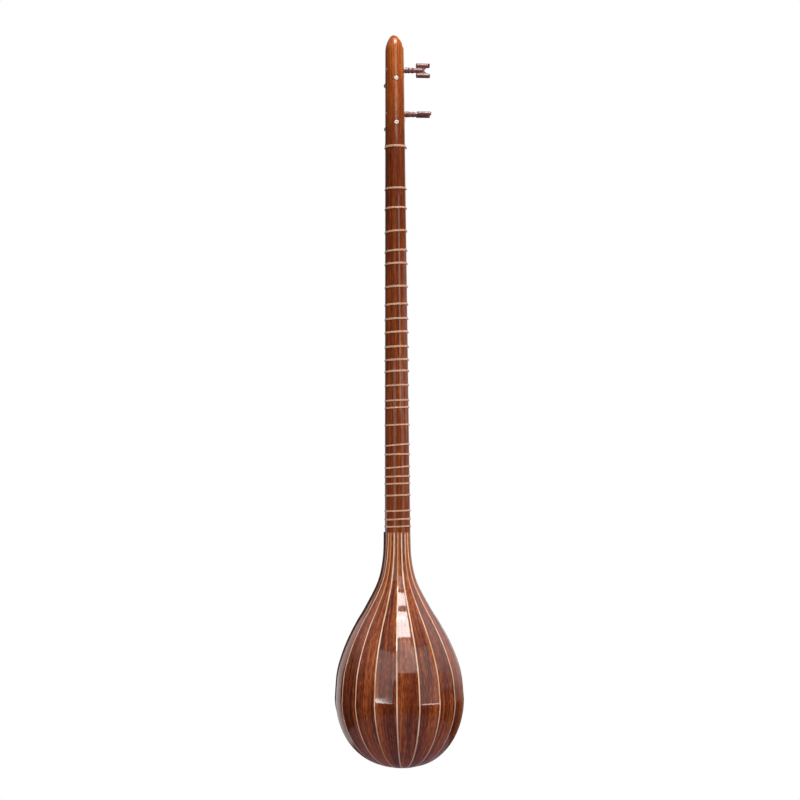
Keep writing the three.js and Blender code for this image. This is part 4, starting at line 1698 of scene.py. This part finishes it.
    def build_winding(self, neck: Neck, coil: GeometryTree) -> None:
        """Builds the string wound round the shaft beside the wall, turn against turn.

        Args:
            neck: the neck that the peg is in.
            coil: the tree that winds a wire.
        """
        frame_matrix = self.matrix(neck)
        start = frame_matrix @ Vector((0, self.winding_from_wall, 0))
        turn = (frame_matrix.to_3x3() @ Matrix.Rotation(-math.pi / 2, 3, "X")).to_euler()
        winding = mesh_object(f"wound_{self.name}", [Vector()], [])
        radius = self.neck_radius + self.gauge / 2
        coil.run(
            winding,
            self.wire,
            Turns=self.winding_length / self.gauge / self.winding_pitch,
            Coil_Radius=radius * MM,
            Wire_Radius=self.gauge / 2 * MM,
            Length=self.winding_length * MM,
            Place=start * MM,
            Turn=Vector(turn),
        )
        settle(winding, self.body, self.wire_slot, f"winding_{self.name}")

    def build_tip(self, neck: Neck) -> None:
        """Builds the bone tip that closes the peg's far end, with its small centre mark.

        Args:
            neck: the neck that the peg goes through.
        """
        base = -self.through(neck) - self.tip_proud
        r, thick = self.tip_radius, self.tip_thickness
        tip = self.lathe(
            f"tip_{self.name}",
            [
                (0.12, base + 0.28), (0.35, base + 0.05), (r * 0.55, base),
                (r - 0.35, base + 0.12), (r - 0.08, base + 0.35), (r, base + 0.7),
                (r, base + thick - 0.1), (0.3, base + thick),
            ],
            self.tip_steps,
        )
        self.placed(tip, neck)
        tidy_mesh(tip, 50.0)
        tip.data.materials.append(BONE.build())
        settle(tip, self.body, "bone", f"peg_tip_{self.name}")


def all_pegs(neck: Neck) -> list[Peg]:
    """The four pegs, two through the front and two through the side.

    Args:
        neck: the neck that they go through.

    Returns:
        The pegs, not yet built.
    """
    low = neck.nut_z + neck.first_peg
    pitch, rise = neck.peg_pitch, neck.side_peg_rise
    return [
        Peg("front_lower", low, Side.FRONT, 0.0, 0.2, BRASS, "string_brass"),
        Peg("front_upper", low + pitch, Side.FRONT, 0.0, 0.2, STEEL, "string_steel"),
        Peg("side_lower", low + rise, Side.SIDE, 0.0, 0.35, BRASS, "string_brass"),
        Peg("side_upper", low + pitch + rise, Side.SIDE, math.pi / 2, 0.2, STEEL, "string_steel"),
    ]


# Gut bands


@dataclass
class GutBands:
    """The tie at the nut, of three strands, and the 25 frets of four, all drawn tight and knotted.

    A slant is how much higher a band sits at its knotted side, the -X side.
    """

    neck: Neck
    thick: float = 0.56
    thin: float = 0.45
    thin_from: int = 12
    strands: int = 4
    tie_thread: float = 0.85
    tie_strands: int = 3
    tie_slant: float = 0.4
    pitch_share: float = 0.98
    clearance: float = 0.14
    knot_size: float = 0.36
    knot_steps: int = 36
    knot_out: float = 1.6
    knot_depth_share: float = 0.9
    knot_flatness: float = 0.8
    knot_tallness: float = 1.1
    shares: tuple[float, ...] = (
        0.1094, 0.1605, 0.221, 0.2715, 0.3051, 0.3651, 0.4108, 0.4485, 0.4831, 0.5209,
        0.5548, 0.5841, 0.6209, 0.6599, 0.6785, 0.7232, 0.7746, 0.799, 0.8324, 0.856,
        0.8747, 0.9046, 0.9447, 0.9663, 0.9849,
    )
    slants: tuple[float, ...] = (
        0.6, 0.9, 1.8, 1.8, 1.2, 1.2, 1.2, 1.2, 1.2, 1.2, 1.2, 1.2, 1.2, 1.2, 1.2, 1.2,
        2.4, 0.7, 2.1, 1.1, 0.8, 1.1, 0.8, 1.2, 0.9,
    )

    def guide(self, name: str, z: float, thread: float, slant: float) -> Object:
        """The line that a band follows round the neck, with the line of its knot.

        Args:
            name: the piece's name.
            z: the band's height.
            thread: the gut's diameter.
            slant: how much higher the band is at the -X side than at the +X side.

        Returns:
            The loose edges, with the knot marked.
        """
        outline = self.neck.outline(z, thread / 2 + self.clearance)
        half = self.neck.half(z)
        loop = [Vector((p.x, p.y, z - slant * p.x / (2 * half))) for p in outline]
        count = len(loop)
        edges = [(k, (k + 1) % count) for k in range(count)]
        knot_x = -half - thread * self.knot_out - self.clearance
        middle = Vector((knot_x, half * self.knot_depth_share, z + slant / 2 - thread))
        tie = []
        for k in range(self.knot_steps):
            a = 2 * math.pi * k / self.knot_steps
            trefoil = Vector((
                -math.sin(3 * a) * self.knot_flatness,
                math.sin(a) + 2 * math.sin(2 * a),
                (math.cos(a) - 2 * math.cos(2 * a)) * self.knot_tallness,
            ))
            tie.append(middle + trefoil * self.knot_size * thread / self.thick)
        steps = range(self.knot_steps)
        edges += [(count + k, count + (k + 1) % self.knot_steps) for k in steps]
        guide = mesh_object(name, loop + tie, [], edges)
        add_point_values(guide, "knot", [0.0] * count + [1.0] * self.knot_steps)
        return guide

    def build(self, tree: GeometryTree) -> None:
        """Builds the tie and every fret on its own body.

        Args:
            tree: the tree that lays strands along a line.
        """
        rows = [
            (
                "nut_tie", self.neck.nut_z, self.tie_thread, self.tie_strands, INSTRUMENT,
                self.tie_slant,
            )
        ]
        for k, (share, slant) in enumerate(zip(self.shares, self.slants)):
            node, z = f"fret_{k + 1:02d}", self.neck.nut_z - self.neck.length * share
            thread = self.thick if k < self.thin_from else self.thin
            rows.append((node, z, thread, self.strands, node, slant))
        for number, (node, z, thread, strands, body, slant) in enumerate(rows):
            band = self.guide(f"gut_{node}", z, thread, slant)
            tree.run(
                band,
                GUT,
                Thread_Radius=thread / 2 * MM,
                Strands=strands,
                Pitch=thread * self.pitch_share * MM,
                Seed=float(number),
            )
            settle(band, body, "gut", node)


# Front


@dataclass
class Front:
    """The soundboard with its holes, the edge band, and the pieces that carry the strings."""

    bowl: Bowl
    board_thickness: float = 2.5
    band_width: float = 1.9
    overhang: float = 1.3
    glue_gap: float = 0.02
    neck_gap: float = 0.05
    band_round: float = 0.5
    hole_radius: float = 1.3
    hole_pitch: float = 9.0
    hole_middle_share: float = 0.72
    holes: tuple[tuple[float, float], ...] = (
        (0, 2), (-1, 1), (0, 1), (1, 1), (-1, 0), (0, 0), (1, 0), (0, -1),
        (-4, -1), (-4, 0), (-4.6, -2), (4, -1), (4, 0), (4.6, -2),
    )

    def outline(self, offset: float) -> list[Vector]:
        """The rim as one line from the neck round the tail and back, cut off at the neck.

        Args:
            offset: how far outwards it is moved.

        Returns:
            The line's points.
        """
        right = self.bowl.rim(offset)
        top = self.bowl.neck.joint_z - self.neck_gap
        both = right + [Vector((-p.x, 0, p.z)) for p in reversed(right[:-1])]
        return [Vector((p.x, 0, min(p.z, top))) for p in both]

    def build_board(self, tree: GeometryTree) -> None:
        """Builds the soundboard and drills its holes.

        Args:
            tree: the tree that drills.
        """
        line = self.outline(self.overhang - self.band_width - self.glue_gap)
        rings = [[Vector((p.x, y, p.z)) for p in line] for y in (0.0, self.board_thickness)]
        points, faces = stack_rings(rings)
        middle = lerp(self.bowl.neck.joint_z, self.bowl.widest_z, self.hole_middle_share)
        drills = [
            Vector((x * self.hole_pitch, self.board_thickness / 2, middle + z * self.hole_pitch))
            for x, z in self.holes
        ]
        board = mesh_object("soundboard_wood", points + drills, faces)
        add_point_values(board, "hole", [0.0] * len(points) + [1.0] * len(drills))
        work = bmesh.new()
        work.from_mesh(board.data)
        bmesh.ops.recalc_face_normals(work, faces=work.faces)
        work.to_mesh(board.data)
        work.free()
        tree.run(
            board,
            BOARD_WOOD,
            Hole_Radius=self.hole_radius * MM,
            Drill_Length=3 * self.board_thickness * MM,
        )
        settle(board, INSTRUMENT, "soundboard_wood", "soundboard")

    def build_band(self, tree: GeometryTree) -> None:
        """Builds the dark band round the soundboard's edge.

        Args:
            tree: the tree that sweeps a band.
        """
        line = self.outline(self.overhang - self.band_width / 2)
        points = [Vector((p.x, self.board_thickness / 2, p.z)) for p in line]
        band = mesh_object("edge_band", points, [], [(k, k + 1) for k in range(len(points) - 1)])
        tree.run(
            band,
            EBONY,
            Width=self.band_width * MM,
            Depth=self.board_thickness * MM,
            Edge_Radius=self.band_round * MM,
        )
        settle(band, INSTRUMENT, "ebony", "edge_binding")

    def build_copy(
        self, node: str, name: str, body: str, slot: str, finish: Finish, edge: float
    ) -> None:
        """Builds a piece from its CAD node's own shape, with its edges softened.

        Args:
            node: the CAD node.
            name: the piece's name.
            body: the body that it rides on.
            slot: its finish slot.
            finish: its finish.
            edge: how much its edges are rounded.
        """
        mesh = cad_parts[node].data.copy()
        piece = link_object(name, mesh)
        tidy_mesh(piece)
        work = bmesh.new()
        work.from_mesh(mesh)
        flat_below = math.radians(2)
        bmesh.ops.dissolve_limit(work, angle_limit=flat_below, verts=work.verts, edges=work.edges)
        work.to_mesh(mesh)
        work.free()
        round_off = piece.modifiers.new("round", "BEVEL")
        round_off.width, round_off.segments, round_off.limit_method = edge * MM, 3, "ANGLE"
        round_off.angle_limit = math.radians(35)
        round_off.use_clamp_overlap = True
        keep_result(piece)
        tidy_mesh(piece, 30.0)
        mesh = piece.data
        mesh.materials.clear()
        mesh.materials.append(finish.build())
        settle(piece, body, slot, node)

    def build(self, perforation: GeometryTree, binding: GeometryTree) -> None:
        """Builds everything on the playing side.

        Args:
            perforation: the tree that drills the soundboard.
            binding: the tree that sweeps the edge band.
        """
        self.build_board(perforation)
        self.build_band(binding)
        self.build_copy("nut", "nut_bone", INSTRUMENT, "bone", BONE, 0.25)
        self.build_copy("string_holder", "holder_bone", INSTRUMENT, "bone", BONE, 0.35)
        self.build_copy("bridge", "bridge_ebony", "bridge", "ebony", EBONY, 0.3)
        for number, wire in ((1, STEEL), (2, BRASS), (3, STEEL), (4, BRASS)):
            dress_node(f"string_{number}", wire)
        for node in ("neck_block", "tail_block"):
            dress_node(node, BLOCK_WOOD)


def dress_node(node: str, finish: Finish) -> None:
    """Gives a CAD node that stays as it is its finish.

    Args:
        node: the CAD node.
        finish: its finish.
    """
    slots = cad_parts[node].data.materials
    slots.clear()
    slots.append(finish.build())
    LOG.info("%s: the CAD shape in %s", node, finish.name)


# Studio


class LightUse(Enum):
    """What a soft light does: shade the colours, shine in the lacquer, or both."""

    BOTH = "both"
    SHADE = "shade"
    SHINE = "shine"


@dataclass(frozen=True)
class Softbox:
    """A soft light, placed by the angles at which a point of the instrument sees it.

    Azimuths run from +Y, where the camera stands, towards +X, the left of the picture.
    """

    name: str
    azimuths: tuple[float, float]
    elevations: tuple[float, float]
    radiance: float
    seen_from: float = -600.0
    seen_depth: float = 50.0
    distance: float = 1.5
    use: LightUse = LightUse.BOTH
    roll: float = 0.0

    def build(self) -> None:
        """Makes the light, square to its line of sight and rolled about it."""
        around = math.radians(sum(self.azimuths) / 2)
        up = math.radians(sum(self.elevations) / 2)
        wide = math.radians(self.azimuths[1] - self.azimuths[0]) * math.cos(up)
        tall = math.radians(self.elevations[1] - self.elevations[0])
        level = math.cos(up)
        away = Vector((math.sin(around) * level, math.cos(around) * level, math.sin(up)))
        data = bpy.data.lights.new(self.name, "AREA")
        data.shape = "RECTANGLE"
        data.size = 2 * self.distance * math.tan(wide / 2)
        data.size_y = 2 * self.distance * math.tan(tall / 2)
        data.energy = self.radiance * math.pi * data.size * data.size_y
        light = link_object(self.name, data)
        light.location = Vector((0, self.seen_depth, self.seen_from)) * MM + away * self.distance
        turn = away.to_track_quat("Z", "Y") @ Euler((0, 0, math.radians(self.roll))).to_quaternion()
        light.rotation_euler = turn.to_euler()
        light.visible_camera = False
        light.visible_glossy = self.use is not LightUse.SHADE
        light.visible_diffuse = self.use is not LightUse.SHINE


@dataclass
class Studio:
    """The camera, the soft lights and the pale floor."""

    distance: float = 2300.0
    around: float = 7.0689
    height: float = -404.28
    sideways: float = 4.687
    tilt: float = 1.7078
    lean: float = -0.3421
    lens: float = 88.6988
    shift_up: float = 0.02
    floor_z: float = -1000.0
    floor_radius: float = 760.0
    floor_ahead: float = 150.0
    floor_steps: int = 96
    fill_above: float = 0.54
    fill_below: float = 0.1
    surroundings: float = 0.02
    upper_glow: float = 0.36
    backdrop: float = 0.6
    left_share: float = 0.6
    backdrop_turn: float = math.radians(20)
    mirrored_tint: str = "f0e8f2"
    softboxes: tuple[Softbox, ...] = (
        Softbox(
            "overhead", (-30, 20), (59.5, 72), 18.0,
            seen_from=-575, distance=4.0, use=LightUse.SHINE,
        ),
        Softbox(
            "overhead_corner", (12, 21), (52, 59.5), 14.0,
            seen_from=-575, distance=4.0, use=LightUse.SHINE,
        ),
        Softbox("overhead_fill", (-23, 20), (59.5, 72), 16.0, seen_from=-575, use=LightUse.SHADE),
        Softbox("ceiling_panel", (-20, 6), (34, 58), 2.2, seen_from=-620),
        Softbox("head_lamp", (7, 10), (12, 45), 9.0, seen_from=80, distance=0.5),
        Softbox("head_strip", (6.5, 10.5), (2, 12), 5.0, seen_from=80, distance=0.5),
        Softbox(
            "top_lamp", (-40, 40), (45, 88), 5.0,
            seen_from=80, distance=0.8, use=LightUse.SHINE,
        ),
        Softbox(
            "neck_key", (-100, -40), (10, 50), 1.9,
            seen_from=-150, distance=1.0, use=LightUse.SHADE,
        ),
        Softbox("neck_glow", (18, 30), (2, 10), 0.5, seen_from=-120, use=LightUse.SHINE),
        Softbox(
            "neck_band", (-36, -18), (-12, 22), 2.2,
            seen_from=-190, distance=0.5, use=LightUse.SHINE,
        ),
        Softbox("left_box", (25, 50), (5, 50), 1.3, seen_from=-655, distance=0.5),
        Softbox("left_sill", (28, 47), (4.9, 5.3), 22.0, seen_from=-655, distance=0.49),
        Softbox("right_box", (-61, -33), (-0.5, 48), 0.95, seen_from=-655, distance=0.5, roll=-3),
        Softbox(
            "right_sill", (-58, -38), (-0.5, 1.2), 12.0,
            seen_from=-655, distance=0.49, roll=-3,
        ),
        Softbox("right_side", (-112, -80), (20, 60), 0.7, seen_from=-655, distance=0.6),
        Softbox("right_low", (-112, -80), (4, 20), 0.4, seen_from=-655, distance=0.6),
        Softbox(
            "left_rim", (143, 161), (-28, 20), 0.5,
            seen_from=-640, distance=0.5, use=LightUse.SHINE,
        ),
        Softbox(
            "bowl_left", (60, 120), (0, 50), 1.0,
            seen_from=-655, distance=0.5, use=LightUse.SHADE,
        ),
        Softbox(
            "bowl_right", (-120, -60), (0, 50), 0.7,
            seen_from=-655, distance=0.5, use=LightUse.SHADE,
        ),
        Softbox("front_box", (188, 240), (32, 62), 3.2, seen_from=-350),
    )

    def build_camera(self) -> None:
        """Makes the camera behind the instrument, looking at its back."""
        around = math.radians(self.around)
        right = Vector((-math.cos(around), math.sin(around), 0))
        ahead = Vector((-math.sin(around), -math.cos(around), 0))
        up = Vector((0, 0, 1))
        tilt, lean = math.radians(self.tilt), math.radians(self.lean)
        look = ahead * math.cos(tilt) + up * math.sin(tilt)
        top = up * math.cos(tilt) - ahead * math.sin(tilt)
        leaned_right = right * math.cos(lean) + top * math.sin(lean)
        leaned_top = top * math.cos(lean) - right * math.sin(lean)
        data = bpy.data.cameras.new("camera")
        data.lens, data.sensor_width, data.shift_y = self.lens, 36.0, self.shift_up
        data.clip_start, data.clip_end = 0.05, 50.0
        camera = link_object("camera", data)
        place = -ahead * self.distance + right * self.sideways + up * self.height
        turn = Matrix((leaned_right, leaned_top, -look)).transposed()
        camera.matrix_world = Matrix.Translation(place * MM) @ turn.to_4x4()
        bpy.context.scene.camera = camera

    def build_world(self) -> None:
        """Makes the surroundings: a white backdrop, and a dim room where the lacquer mirrors it.

        The camera and clear things see plain white. Mirrored rays see the pale backdrop behind
        the instrument and a dim room elsewhere. All other rays get the room's soft fill, a little
        weaker from below.
        """
        world = bpy.data.worlds.new("studio")
        bpy.context.scene.world = world
        world.use_nodes = True
        tree = world.node_tree
        tree.nodes.clear()
        coords = add_node(tree, "ShaderNodeTexCoord")
        parts = add_node(tree, "ShaderNodeSeparateXYZ", {0: coords.outputs["Generated"]})
        made: dict[str | float, Source] = dict(zip("xyz", parts.outputs))
        turn = self.backdrop_turn
        # Each row is a name, then a smooth rise of one value, with the values at which it starts
        # and ends and its top, or else a sum, a product or a size of values.
        rows: tuple[tuple[str | float, ...], ...] = (
            ("y_part", "MULTIPLY", "y", math.cos(turn)),
            ("x_part", "MULTIPLY", "x", math.sin(turn)),
            ("turned", "ADD", "y_part", "x_part"),
            ("behind", "RISE", "turned", -0.6, -0.85, self.backdrop),
            ("right_side", "RISE", "x", 0.1, -0.1, 1.0),
            ("right_height", "RISE", "z", -0.1, 0.04, 1.0),
            ("right", "MULTIPLY", "right_side", "right_height"),
            ("left_top", "RISE", "z", 0.03, -0.06, self.left_share),
            ("left_bottom", "RISE", "z", -0.35, -0.12, 1.0),
            ("left_height", "MULTIPLY", "left_top", "left_bottom"),
            ("left_side", "RISE", "x", -0.1, 0.1, 1.0),
            ("left", "MULTIPLY", "left_side", "left_height"),
            ("open_side", "ADD", "right", "left"),
            ("sideways", "ABSOLUTE", "x"),
            ("high", "RISE", "z", 0.22, 0.62, self.upper_glow),
            ("outer", "RISE", "sideways", 0.3, 0.5, 1.0),
            ("corners", "MULTIPLY", "high", "outer"),
            ("far", "RISE", "y", 0.1, -0.4, 1.2),
            ("farther", "ADD", "far", 0.8),
            ("above", "MULTIPLY", "corners", "farther"),
            ("opening", "MULTIPLY", "behind", "open_side"),
            ("glow", "ADD", "opening", "above"),
            ("mirrored", "ADD", "glow", self.surroundings),
            ("from_above", "RISE", "z", -0.5, 0.35, self.fill_above - self.fill_below),
            ("even", "ADD", "from_above", self.fill_below),
        )
        for name, how, *values in rows:
            if how == "RISE":
                value, low, high, top = values
                made[name] = add_node(
                    tree,
                    "ShaderNodeMapRange",
                    {"Value": made[value], "From Min": low, "From Max": high, "To Max": top},
                    interpolation_type="SMOOTHSTEP",
                )
            else:
                inputs = dict(enumerate(made.get(value, value) for value in values))
                made[name] = add_node(tree, "ShaderNodeMath", inputs, operation=how)
        white, tint = linear("ffffff"), linear(self.mirrored_tint)
        room, mirrored, backdrop = (
            add_node(tree, "ShaderNodeBackground", {"Color": colour, "Strength": strength})
            for colour, strength in ((white, made["even"]), (tint, made["mirrored"]), (white, 1.0))
        )
        path = add_node(tree, "ShaderNodeLightPath")
        clear = add_node(
            tree,
            "ShaderNodeMath",
            {0: path.outputs["Is Camera Ray"], 1: path.outputs["Is Transmission Ray"]},
            operation="MAXIMUM",
        )
        dim = add_node(
            tree,
            "ShaderNodeMixShader",
            {0: path.outputs["Is Glossy Ray"], 1: room, 2: mirrored},
        )
        seen = add_node(tree, "ShaderNodeMixShader", {0: clear, 1: dim, 2: backdrop})
        add_node(tree, "ShaderNodeOutputWorld", {0: seen})

    def build_floor(self) -> None:
        """Makes the round pale floor below the hanging instrument."""
        radius, ahead, z = self.floor_radius, self.floor_ahead, self.floor_z
        angles = [2 * math.pi * k / self.floor_steps for k in range(self.floor_steps)]
        ring = [Vector((radius * math.cos(a), ahead + radius * math.sin(a), z)) for a in angles]
        floor = mesh_object("floor", ring, [list(range(self.floor_steps))])
        floor.data.materials.append(PALE_FLOOR.build())

    def build(self) -> None:
        """Makes the whole studio."""
        self.build_camera()
        self.build_world()
        self.build_floor()
        for softbox in self.softboxes:
            softbox.build()
        bpy.context.scene.view_settings.view_transform = "Standard"


def main() -> None:
    """Builds the studio and every piece of the instrument, in order."""
    logging.basicConfig(level=logging.INFO, format="%(name)s %(message)s")
    Studio().build()
    neck = Neck()
    pegs = all_pegs(neck)
    neck.build([peg.hole(neck) for peg in pegs])
    coil = coil_tree()
    for peg in pegs:
        peg.build(neck, coil)
    bowl = Bowl(neck)
    shell = shell_tree()
    bowl.build_staves(shell)
    bowl.build_lines(shell)
    GutBands(neck).build(strands_tree())
    Front(bowl).build(perforation_tree(), binding_tree())


if __name__ == "__main__":
    main()
